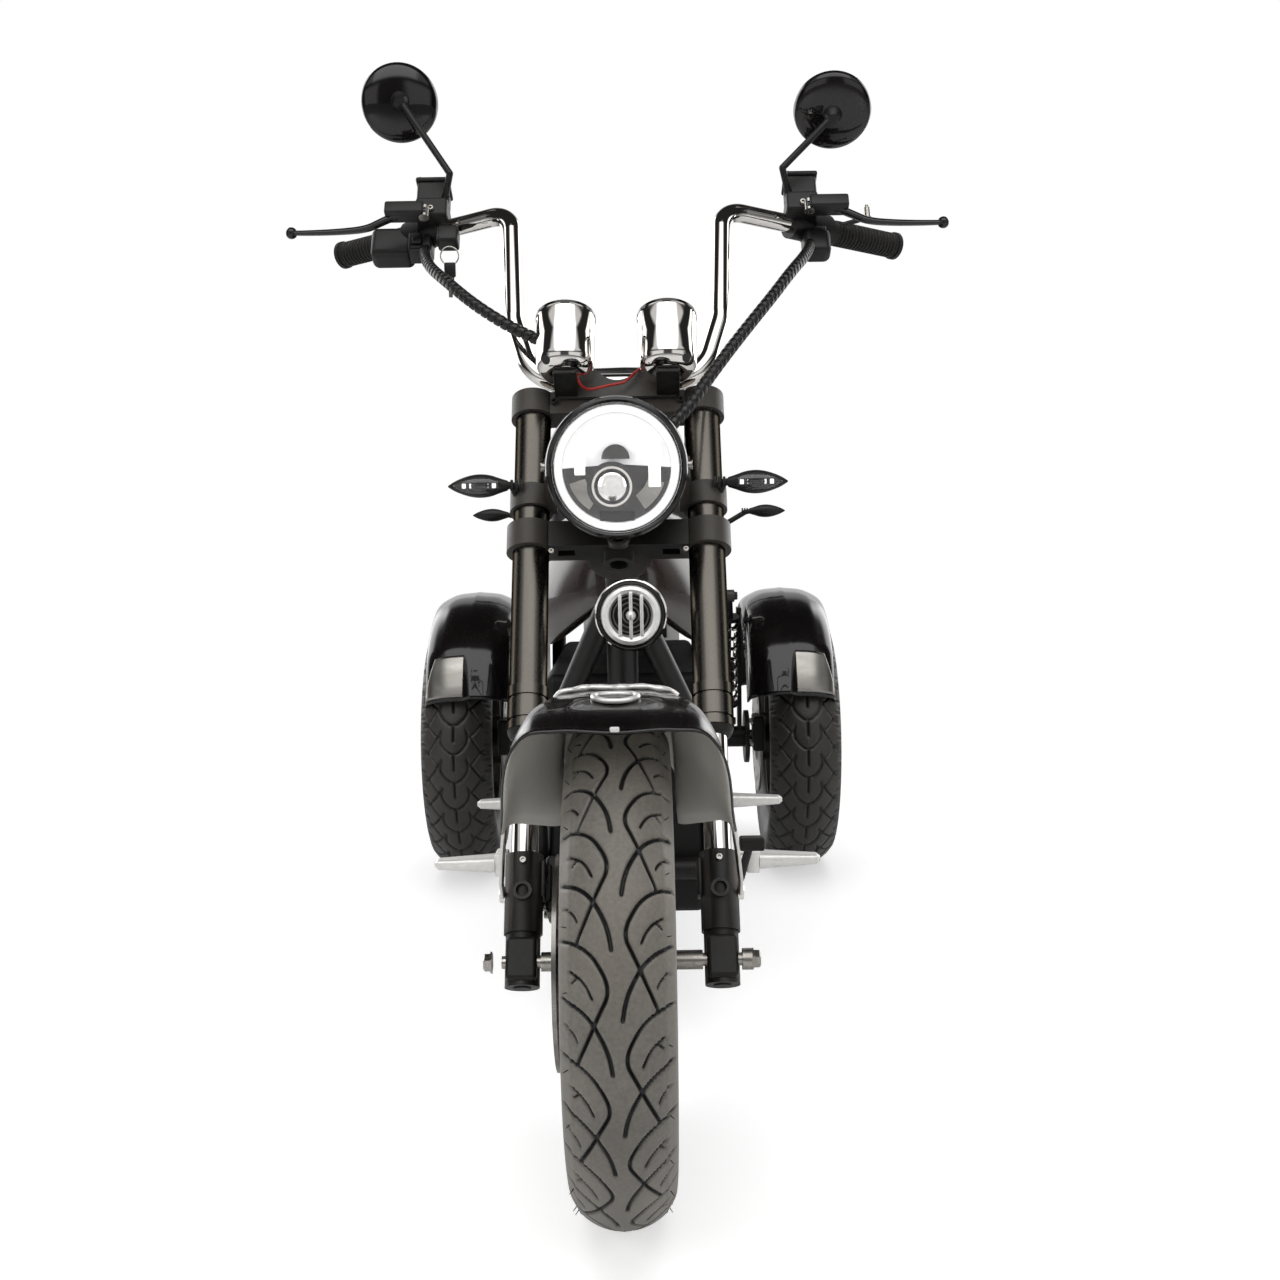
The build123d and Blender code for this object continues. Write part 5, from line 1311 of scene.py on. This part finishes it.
class SCOOTER_OT_brakes(bpy.types.Operator):
    """Disc bolts, caliper pistons and screws"""
    bl_idname = "scooter.brakes"
    bl_label = "Brakes"

    def execute(self, context):
        def circle_of_bolts(x, axle, circle, radius, height):
            """Five bolts round an axle, facing away from the middle of the scooter."""
            turns = math.pi - 2 * math.pi * np.arange(5) / 5 - 0.3
            spots = round_axle(axle, x, circle, turns)
            return [head for spot in spots for head in bolt(spot, (math.copysign(1, x), 0, 0), radius, height)]

        studs = circle_of_bolts(-60.0, FRONT_AXLE, 22, 4.6, 4.5)
        put("front_disc_bolts", [(studs, "zinc_plated_steel")], "front_wheel")
        for side in SIDES:
            face = side * (REAR_TRACK / 2 + 38.0)
            hub = lathe([(0, 19.4), (0, 40), (4, 38), (5, 22), (5, 19.4)], (face, *REAR_AXLE), (side, 0, 0), 48)
            nuts = circle_of_bolts(face, REAR_AXLE, 30, 6.0, 6.0)
            put("wheel_nuts_" + SIDE_NAMES[side], [(nuts, "zinc_plated_steel"), (hub, "cast_black_aluminium")],
                "rear_wheel_" + SIDE_NAMES[side])
        screws = []
        for back, along in ((20, 60), (50, 60), (20, 100), (50, 100)):
            screws += screw(steered((-74.2, back, along)), (-1, 0, 0), 4.4, 4.0)
        screws.append(lathe([(0, 0), (0, 12), (3, 11), (3, 0)], steered((-74, 36, 80)), (-1, 0, 0), 32))
        put("front_caliper_screws", [(screws, "zinc_plated_steel")], "steering")
        screws = []
        for side in SIDES:
            for y, z in ((-100, 2), (-74, 2), (-100, 40), (-74, 40)):
                screws += screw((side * 215.0, REAR_AXLE[0] + y, REAR_AXLE[1] + z), (-side, 0, 0), 4.4, 4.0)
        put("rear_caliper_screws", [(screws, "zinc_plated_steel")], "chassis")
        return {"FINISHED"}


DAMPER = (
    # share of the length, radius
    (0, 0), (0, 6.5), (0.16, 6.5), (0.16, 18.8), (0.18, 18.8), (0.18, 8.6), (0.5, 8.6), (0.5, 5.0), (0.82, 5.0),
    (0.82, 18.8), (0.845, 18.8), (0.845, 8.0), (1, 6.0), (1, 0),
)


class SCOOTER_OT_shocks(bpy.types.Operator):
    """Rear dampers with coil springs between two seats"""
    bl_idname = "scooter.shocks"
    bl_label = "Shocks"

    def execute(self, context):
        coils, bodies, eyes = [], [], []
        for side in SIDES:
            foot = np.array((side * 176.0, REAR_AXLE[0] - 2, REAR_AXLE[1] + 23))
            top = np.array((side * 176.0, behind(1236), 500.0))
            run = top - foot
            length = np.linalg.norm(run)
            turn = np.linspace(0, 2 * np.pi * 8.5, 8 * 34 + 1)
            local = xyz(15.2 * np.cos(turn), 15.2 * np.sin(turn), length * (0.17 + 0.66 * turn / turn[-1]))
            path = placed(local, foot, run)
            coils.append(tube(path, 3.1, 8, tuple(run / length)))
            bodies.append(lathe([(length * share, radius) for share, radius in DAMPER], foot, run, 32))
            for spot, size in ((foot + (0, 0, 6), 10.0), (top, 11.0)):
                eyes.append(lathe([(-9, 0), (-9, size), (9, size), (9, 0)], spot, (1, 0, 0), 32))
                eyes += bolt(spot + np.array((side * 9.0, 0, 0)), (side, 0, 0), 7.0, 6.0)
        put("shock_units", [(coils, "chrome_plate"), (bodies, "satin_black_powder_coat"),
                            (eyes, "cast_black_aluminium")], "chassis", replaces=["shocks"])
        return {"FINISHED"}


PEG_ROWS = (
    # node, behind the front axle, level, start from the middle, reach, width
    ("rider_pegs", 452.0, 219.0, 164.0, 76.0, 34.0),
    ("passenger_pegs", 800.0, 223.0, 150.0, 76.0, 28.0),
)


class SCOOTER_OT_pegs(bpy.types.Operator):
    """Foot pegs: bright tapered blades"""
    bl_idname = "scooter.pegs"
    bl_label = "Pegs"

    def execute(self, context):
        for node, back, level, start, reach, width in PEG_ROWS:
            blades, brackets = [], []
            y = behind(back)
            for side in SIDES:
                along = np.linspace(0, 1, 48)
                half = width / 2 * (1 - 0.4 * along) * np.sqrt(np.clip((1.0 - along) / 0.06, 0.2, 1))
                thick = 10.4 * (1 - 0.42 * along) * np.sqrt(np.clip((1.0 - along) / 0.06, 0.3, 1))
                c = bent(np.cos(turns(24)), 0.5)
                s = bent(np.sin(turns(24)), 0.6)
                blades.append(closed(xyz(side * (start + reach * along)[:, None], y + half[:, None] * c,
                                         level + thick[:, None] * s)))
                brackets.append(block((side * (start - 16), y - 16, level - 14), (side * start, y + 16, level + 14),
                                      2.0, 2))
                brackets.append(lathe([(0, 0), (0, 8), (start - 132, 8), (start - 132, 0)], (side * 118, y, level),
                                      (side, 0, 0), 24))
                brackets += bolt((side * (start - 8), y, level + 14), (0, 0, 1), 5.0, 4.0)
            put(node + "_set", [(blades + brackets, "tumbled_aluminium")], "chassis", replaces=[node])
        return {"FINISHED"}


# Upholstery
def cushion(node, name, low, high, edge, taper, crown, cap):
    """A filled cushion: a rounded block, narrowed and crowned, swollen by cloth pressure with its moves capped."""
    low, high = np.array(low, float), np.array(high, float)
    middle = (low + high) / 2
    size = (high - low) / 2

    def shape(points):
        """Narrower towards the front, higher in the middle, and drawn in along the sides."""
        local = (points - middle) / size
        narrow = 1 - taper * (1 - local[..., 1]) / 2
        rise = crown * (1 - local[..., 0] ** 2) * np.clip(local[..., 2], 0, 1)
        dip = 1 - 0.035 * np.cos(np.clip(local[..., 1], -1, 1) * np.pi / 2)
        return xyz(middle[0] + local[..., 0] * size[0] * narrow * dip, points[..., 1], points[..., 2] + rise)

    pad = put(name, [(block(low, high, edge, 6, shape), "black_seat_vinyl")], "chassis", replaces=[node])
    remesh = pad.modifiers.new("remesh", "REMESH")
    remesh.mode = "VOXEL"
    remesh.voxel_size = CUSHION_VOXEL
    bake(pad)
    start = places(pad)
    cloth = pad.modifiers.new("cloth", "CLOTH")
    cloth.settings.use_pressure = True
    cloth.settings.uniform_pressure_force = 4.0
    cloth.settings.effector_weights.gravity = 0.0
    cloth.settings.quality = 4
    for number in range(1, CLOTH_FRAMES + 1):
        bpy.context.scene.frame_set(number)
    bake(pad)
    bpy.context.scene.frame_set(1)
    move = places(pad) - start
    move *= np.minimum(1, cap * MM / np.maximum(np.linalg.norm(move, axis=1, keepdims=True), 1e-9))
    start = start + move * np.clip((start[:, 2:] - low[2] * MM) / 0.02, 0, 1)     # the foot stays flat
    return pad, start


def places(piece):
    """Where a piece's points are, in metres."""
    spots = np.zeros(len(piece.data.vertices) * 3)
    piece.data.vertices.foreach_get("co", spots)
    return spots.reshape(-1, 3)


def bake(piece):
    """Applies a piece's modifiers to its mesh."""
    graph = bpy.context.evaluated_depsgraph_get()
    result = bpy.data.meshes.new_from_object(piece.evaluated_get(graph))
    old = piece.data
    piece.modifiers.clear()
    piece.data = result
    bpy.data.meshes.remove(old)


def finish_cushion(pad, points, channels, depth):
    """Presses sewn channels across the top, at the given y, then gives the cushion its last subdivision."""
    for place in channels:
        top = np.clip((points[:, 2] - np.median(points[:, 2])) / 0.01, 0, 1)
        points[:, 2] -= depth * MM * np.exp(-((points[:, 1] - place * MM) / 0.0035) ** 2) * top
    pad.data.vertices.foreach_set("co", points.ravel())
    pad.data.shade_smooth()
    smooth = pad.modifiers.new("smooth", "SUBSURF")
    smooth.levels = 1
    smooth.render_levels = 1


def seam_loop(points, level):
    """A smooth loop round a cushion at one level: the furthest point in each direction, its small waves removed."""
    near = points[np.abs(points[:, 2] - level * MM) < SEAM_BAND * MM]
    centre = (near.max(0) + near.min(0)) / 2
    offset = near[:, :2] - centre[:2]
    angle = np.arctan2(offset[:, 1], offset[:, 0])
    distance = np.linalg.norm(offset, axis=1)
    bins = ((angle + np.pi) / (2 * np.pi) * SEAM_POINTS).astype(int) % SEAM_POINTS
    reach = np.zeros(SEAM_POINTS)
    np.maximum.at(reach, bins, distance)
    known = reach > 0
    number = np.arange(SEAM_POINTS)
    waves = np.fft.rfft(np.interp(number, number[known], reach[known], period=SEAM_POINTS))
    waves[SEAM_WAVES:] = 0
    reach = np.fft.irfft(waves, SEAM_POINTS)
    turn = (number + 0.5) / SEAM_POINTS * 2 * np.pi - np.pi
    return xyz(centre[0] + reach * np.cos(turn), centre[1] + reach * np.sin(turn), level * MM) / MM


SEAT_ROWS = (
    # name, low and high corner, taper, crown, y of the channels, their depth, level of the piping
    ("rider", (-143, -26, 589), (143, 299, 690), 0.28, 6.0, (60, 110, 160, 210, 260), 5.0, 668),
    ("passenger", (-123, 311, 589), (123, 584, 738), 0.10, 5.0, (380, 430, 480, 530), 4.5, 716),
)


class SCOOTER_OT_seats(bpy.types.Operator):
    """Rider's seat, passenger's seat and back rest, filled by cloth pressure and piped"""
    bl_idname = "scooter.seats"
    bl_label = "Seats"

    def execute(self, context):
        seats = context.scene.scooter_seats
        swell = seats.swell / MM
        cord = seats.piping / MM
        for who, low, high, taper, crown, channels, depth, level in SEAT_ROWS:
            pad, points = cushion(who + "_seat", who + "_cushion", low, high, 27.0, taper, crown, swell)
            finish_cushion(pad, points, channels, depth)
            piping = tube(seam_loop(points, level), cord, 8, wrap=True)
            put(who + "_piping", [(piping, "seam_thread")], "chassis")
        pad, points = cushion("back_rest", "back_cushion", (-90, 634, 790), (90, 675, 910), 16.0, 0.0, 0.0, 5.0)
        finish_cushion(pad, points, (), 0.0)
        return {"FINISHED"}


class SCOOTER_OT_rear_end(bpy.types.Operator):
    """Tail lamp bezel, plate screws, rack edge and reflector"""
    bl_idname = "scooter.rear_end"
    bl_label = "Rear end"

    def execute(self, context):
        back = behind(1560)
        bars = ((-64, 508, 64, 515), (-64, 563, 64, 570), (-66, 508, -59, 570), (59, 508, 66, 570))
        bezel = [block((left, back - 1, foot), (right, back + 10, top), 2.5, 2) for left, foot, right, top in bars]
        screws = []
        for x in (-60, 60):
            screws += screw((x, back + 3, 486), (0, 1, 0), 4.5, 4.0)
        reflector = lathe([(0, 0), (0, 19), (4, 19), (6, 17), (6, 0)], (0, back + 3, 400), (0, 1, 0), 40)
        put("rear_trim", [(bezel, "moulded_black_abs"), (screws, "zinc_plated_steel"),
                          (reflector, "red_polycarbonate")], "chassis")
        return {"FINISHED"}


SKY_LEVEL = 0.02              # what polished surfaces reflect between the panels
SKY_BLUR = 0.07               # half width of a panel's soft edge
SKY_PANELS = (
    # level of what polished surfaces reflect, then from and to for |x|, y and z of the direction
    (0.8, (-1, 0.40), (0.45, 1), (-1, 0.38)),
    (2.6, (0.40, 1), (0.30, 1), (-1, 0.62)),
    (0.6, (-1, 1), (0.74, 0.95), (0.30, 0.66)),
    (2.2, (-1, 0.55), (-1, -0.20), (0.49, 1)),
    (0.66, (0.55, 0.87), (-1, -0.20), (0.49, 1)),
    (0.8, (0.27, 0.88), (-1, -0.20), (-1, 0.37)),
    (0.05, (-1, 0.27), (-1, -0.20), (-1, 0.37)),
)


SOFTBOXES = (
    # name, place, target and size in metres, share of the top light's power
    ("top_softbox", (0.0, -0.6, 3.2), (0, 0, 0.4), (3.4, 3.4), 1.0),
    ("front_left_softbox", (-2.6, -2.6, 1.9), (0, -0.4, 0.5), (1.2, 2.0), 0.66),
    ("front_right_softbox", (2.8, -2.2, 1.7), (0, -0.4, 0.5), (0.8, 2.0), 0.50),
    ("rear_softbox", (0.0, 3.4, 2.2), (0, 0.3, 0.4), (2.4, 1.4), 0.35),
)


class SCOOTER_OT_stage(bpy.types.Operator):
    """Pale floor, soft studio light and the camera at the photograph's place"""
    bl_idname = "scooter.stage"
    bl_label = "Stage"

    def execute(self, context):
        scene = context.scene
        stage = scene.scooter_stage
        half = stage.floor_size / 2
        corners = np.array([[(-half, -half, 0), (-half, half, 0)], [(half, -half, 0), (half, half, 0)]], float) / MM
        points, faces = grid(corners)
        mesh = bpy.data.meshes.new("floor")
        mesh.from_pydata(points * MM, [], faces.tolist())
        mesh.update()
        floor = bpy.data.objects.new("floor", mesh)
        scene.collection.objects.link(floor)
        material, tree = empty_material("white_seamless_paper")
        place = add_node(tree, "ShaderNodeTexCoord").outputs["Object"]
        fibre = add_node(tree, "ShaderNodeTexNoise", {"Vector": place, "Scale": 3.0}).outputs["Fac"]
        rough = add_node(tree, "ShaderNodeMapRange", {"Value": fibre, "To Min": 0.85, "To Max": 0.95}).outputs[0]
        paper = add_node(tree, "ShaderNodeBsdfPrincipled", {"Base Color": linear("#f4f4f4"), "Roughness": rough,
                                                            "Specular IOR Level": 0.0})
        seen = add_node(tree, "ShaderNodeLightPath")
        straight = add_node(tree, "ShaderNodeMath", {0: seen.outputs["Is Camera Ray"],
                                                     1: seen.outputs["Is Transmission Ray"]}, operation="MAXIMUM")
        glow = add_node(tree, "ShaderNodeEmission", {"Color": (1, 1, 1, 1), "Strength": FLOOR_GLOW})
        dark = add_node(tree, "ShaderNodeEmission", {"Color": (1, 1, 1, 1), "Strength": 0.0})
        light = add_node(tree, "ShaderNodeMixShader", {0: straight.outputs[0], 1: dark.outputs[0],
                                                       2: glow.outputs[0]})
        both = add_node(tree, "ShaderNodeAddShader", {0: paper.outputs[0], 1: light.outputs[0]})
        reach = add_node(tree, "ShaderNodeVectorMath", {0: place}, operation="LENGTH").outputs["Value"]
        far = add_node(tree, "ShaderNodeMapRange", {"Value": reach, "From Min": WHITE_FROM, "From Max": WHITE_TO},
                       interpolation_type="SMOOTHSTEP").outputs[0]
        far = add_node(tree, "ShaderNodeMath", {0: far, 1: straight.outputs[0]}, operation="MULTIPLY")
        white = add_node(tree, "ShaderNodeEmission", {"Color": (1, 1, 1, 1), "Strength": 1.0})
        surface = add_node(tree, "ShaderNodeMixShader", {0: far.outputs[0], 1: both.outputs[0], 2: white.outputs[0]})
        add_node(tree, "ShaderNodeOutputMaterial", {"Surface": surface.outputs[0]})
        mesh.materials.append(material)

        world = bpy.data.worlds.new("studio")
        scene.world = world
        world.use_nodes = True
        tree = world.node_tree
        tree.nodes.clear()
        seen = add_node(tree, "ShaderNodeLightPath")
        straight = add_node(tree, "ShaderNodeMath", {0: seen.outputs["Is Camera Ray"],
                                                     1: seen.outputs["Is Transmission Ray"]}, operation="MAXIMUM")
        room = add_node(tree, "ShaderNodeTexCoord").outputs["Generated"]
        parts = add_node(tree, "ShaderNodeSeparateXYZ", {"Vector": room})
        aside = add_node(tree, "ShaderNodeMath", {0: parts.outputs["X"]}, operation="ABSOLUTE").outputs[0]
        directions = (aside, parts.outputs["Y"], parts.outputs["Z"])
        mirror_level = SKY_LEVEL
        for level, *spans in SKY_PANELS:
            for direction, span in zip(directions, spans):
                for edge, sign in zip(span, (1, -1)):
                    if abs(edge) < 1:
                        blur = {"Value": direction, "From Min": edge - sign * SKY_BLUR,
                                "From Max": edge + sign * SKY_BLUR}
                        soft = add_node(tree, "ShaderNodeMapRange", blur,
                                        interpolation_type="SMOOTHSTEP").outputs[0]
                        level = add_node(tree, "ShaderNodeMath", {0: level, 1: soft}, operation="MULTIPLY").outputs[0]
            mirror_level = add_node(tree, "ShaderNodeMath", {0: mirror_level, 1: level}, operation="ADD").outputs[0]
        glossy = add_node(tree, "ShaderNodeMix", {"Factor": seen.outputs["Is Glossy Ray"], "A": stage.world_level,
                                                  "B": mirror_level}, data_type="FLOAT")
        final = add_node(tree, "ShaderNodeMix", {"Factor": straight.outputs[0], "A": glossy.outputs[0], "B": 1.0},
                         data_type="FLOAT")
        sky = add_node(tree, "ShaderNodeBackground", {"Color": (1, 1, 1, 1), "Strength": final.outputs[0]})
        add_node(tree, "ShaderNodeOutputWorld", {"Surface": sky.outputs[0]})

        for name, place, target, size, share in SOFTBOXES:
            data = bpy.data.lights.new(name, "AREA")
            data.shape = "RECTANGLE"
            data.size, data.size_y = size
            data.energy = stage.top_power * share
            holder = bpy.data.objects.new(name, data)
            holder.location = place
            holder.visible_glossy = False
            holder.rotation_euler = (Vector(target) - Vector(place)).to_track_quat("-Z", "Y").to_euler()
            scene.collection.objects.link(holder)

        yaw, pitch, roll = CAMERA_TURN
        ahead = Vector((math.sin(yaw) * math.cos(pitch), math.cos(yaw) * math.cos(pitch), -math.sin(pitch)))
        right = Vector((math.cos(yaw), -math.sin(yaw), 0))
        above = right.cross(ahead)
        side = math.cos(roll) * right + math.sin(roll) * above
        up = -math.sin(roll) * right + math.cos(roll) * above
        data = bpy.data.cameras.new("camera")
        data.sensor_width = SENSOR_WIDTH
        data.lens = CAMERA_LENS
        camera = bpy.data.objects.new("camera", data)
        matrix = Matrix((side, up, -ahead)).transposed().to_4x4()
        matrix.translation = Vector(CAMERA_PLACE) * MM
        camera.matrix_world = matrix
        scene.collection.objects.link(camera)
        scene.camera = camera
        scene.view_settings.view_transform = "Standard"
        return {"FINISHED"}


OPERATORS = (
    SCOOTER_OT_finishes, SCOOTER_OT_front_tyre, SCOOTER_OT_rear_tyres, SCOOTER_OT_front_mudguard,
    SCOOTER_OT_rear_mudguards, SCOOTER_OT_body_cover, SCOOTER_OT_headlight, SCOOTER_OT_turn_signals,
    SCOOTER_OT_horn, SCOOTER_OT_dials, SCOOTER_OT_grips, SCOOTER_OT_levers, SCOOTER_OT_mirrors, SCOOTER_OT_looms,
    SCOOTER_OT_controls, SCOOTER_OT_fork_details, SCOOTER_OT_brakes, SCOOTER_OT_shocks, SCOOTER_OT_pegs,
    SCOOTER_OT_seats, SCOOTER_OT_rear_end, SCOOTER_OT_stage,
)
GROUPS = (
    ("scooter_tyres", ScooterTyres), ("scooter_lamps", ScooterLamps), ("scooter_colours", ScooterColours),
    ("scooter_seats", ScooterSeats), ("scooter_stage", ScooterStage),
)


class SCOOTER_PT_panel(bpy.types.Panel):
    """Sizes, colours and the operators, in the order in which they run"""
    bl_idname = "SCOOTER_PT_panel"
    bl_label = "Scooter"
    bl_space_type = "VIEW_3D"
    bl_region_type = "UI"
    bl_category = "Scooter"

    def draw(self, context):
        for name, group in GROUPS:
            box = self.layout.box()
            for key in group.__annotations__:
                box.prop(getattr(context.scene, name), key)
        for operator in OPERATORS:
            self.layout.operator(operator.bl_idname)


def register():
    for name, group in GROUPS:
        bpy.utils.register_class(group)
        setattr(bpy.types.Scene, name, bpy.props.PointerProperty(type=group))
    for operator in OPERATORS:
        bpy.utils.register_class(operator)
    bpy.utils.register_class(SCOOTER_PT_panel)


def unregister():
    bpy.utils.unregister_class(SCOOTER_PT_panel)
    for operator in reversed(OPERATORS):
        bpy.utils.unregister_class(operator)
    for name, group in reversed(GROUPS):
        delattr(bpy.types.Scene, name)
        bpy.utils.unregister_class(group)


def main():
    """Makes every piece and the stage."""
    register()
    bpy.ops.scooter.finishes()
    bpy.ops.scooter.front_tyre()
    bpy.ops.scooter.rear_tyres()
    bpy.ops.scooter.front_mudguard()
    bpy.ops.scooter.rear_mudguards()
    bpy.ops.scooter.body_cover()
    bpy.ops.scooter.headlight()
    bpy.ops.scooter.turn_signals()
    bpy.ops.scooter.horn()
    bpy.ops.scooter.dials()
    bpy.ops.scooter.grips()
    bpy.ops.scooter.levers()
    bpy.ops.scooter.mirrors()
    bpy.ops.scooter.looms()
    bpy.ops.scooter.controls()
    bpy.ops.scooter.fork_details()
    bpy.ops.scooter.brakes()
    bpy.ops.scooter.shocks()
    bpy.ops.scooter.pegs()
    bpy.ops.scooter.seats()
    bpy.ops.scooter.rear_end()
    bpy.ops.scooter.stage()


if __name__ == "__main__":
    main()
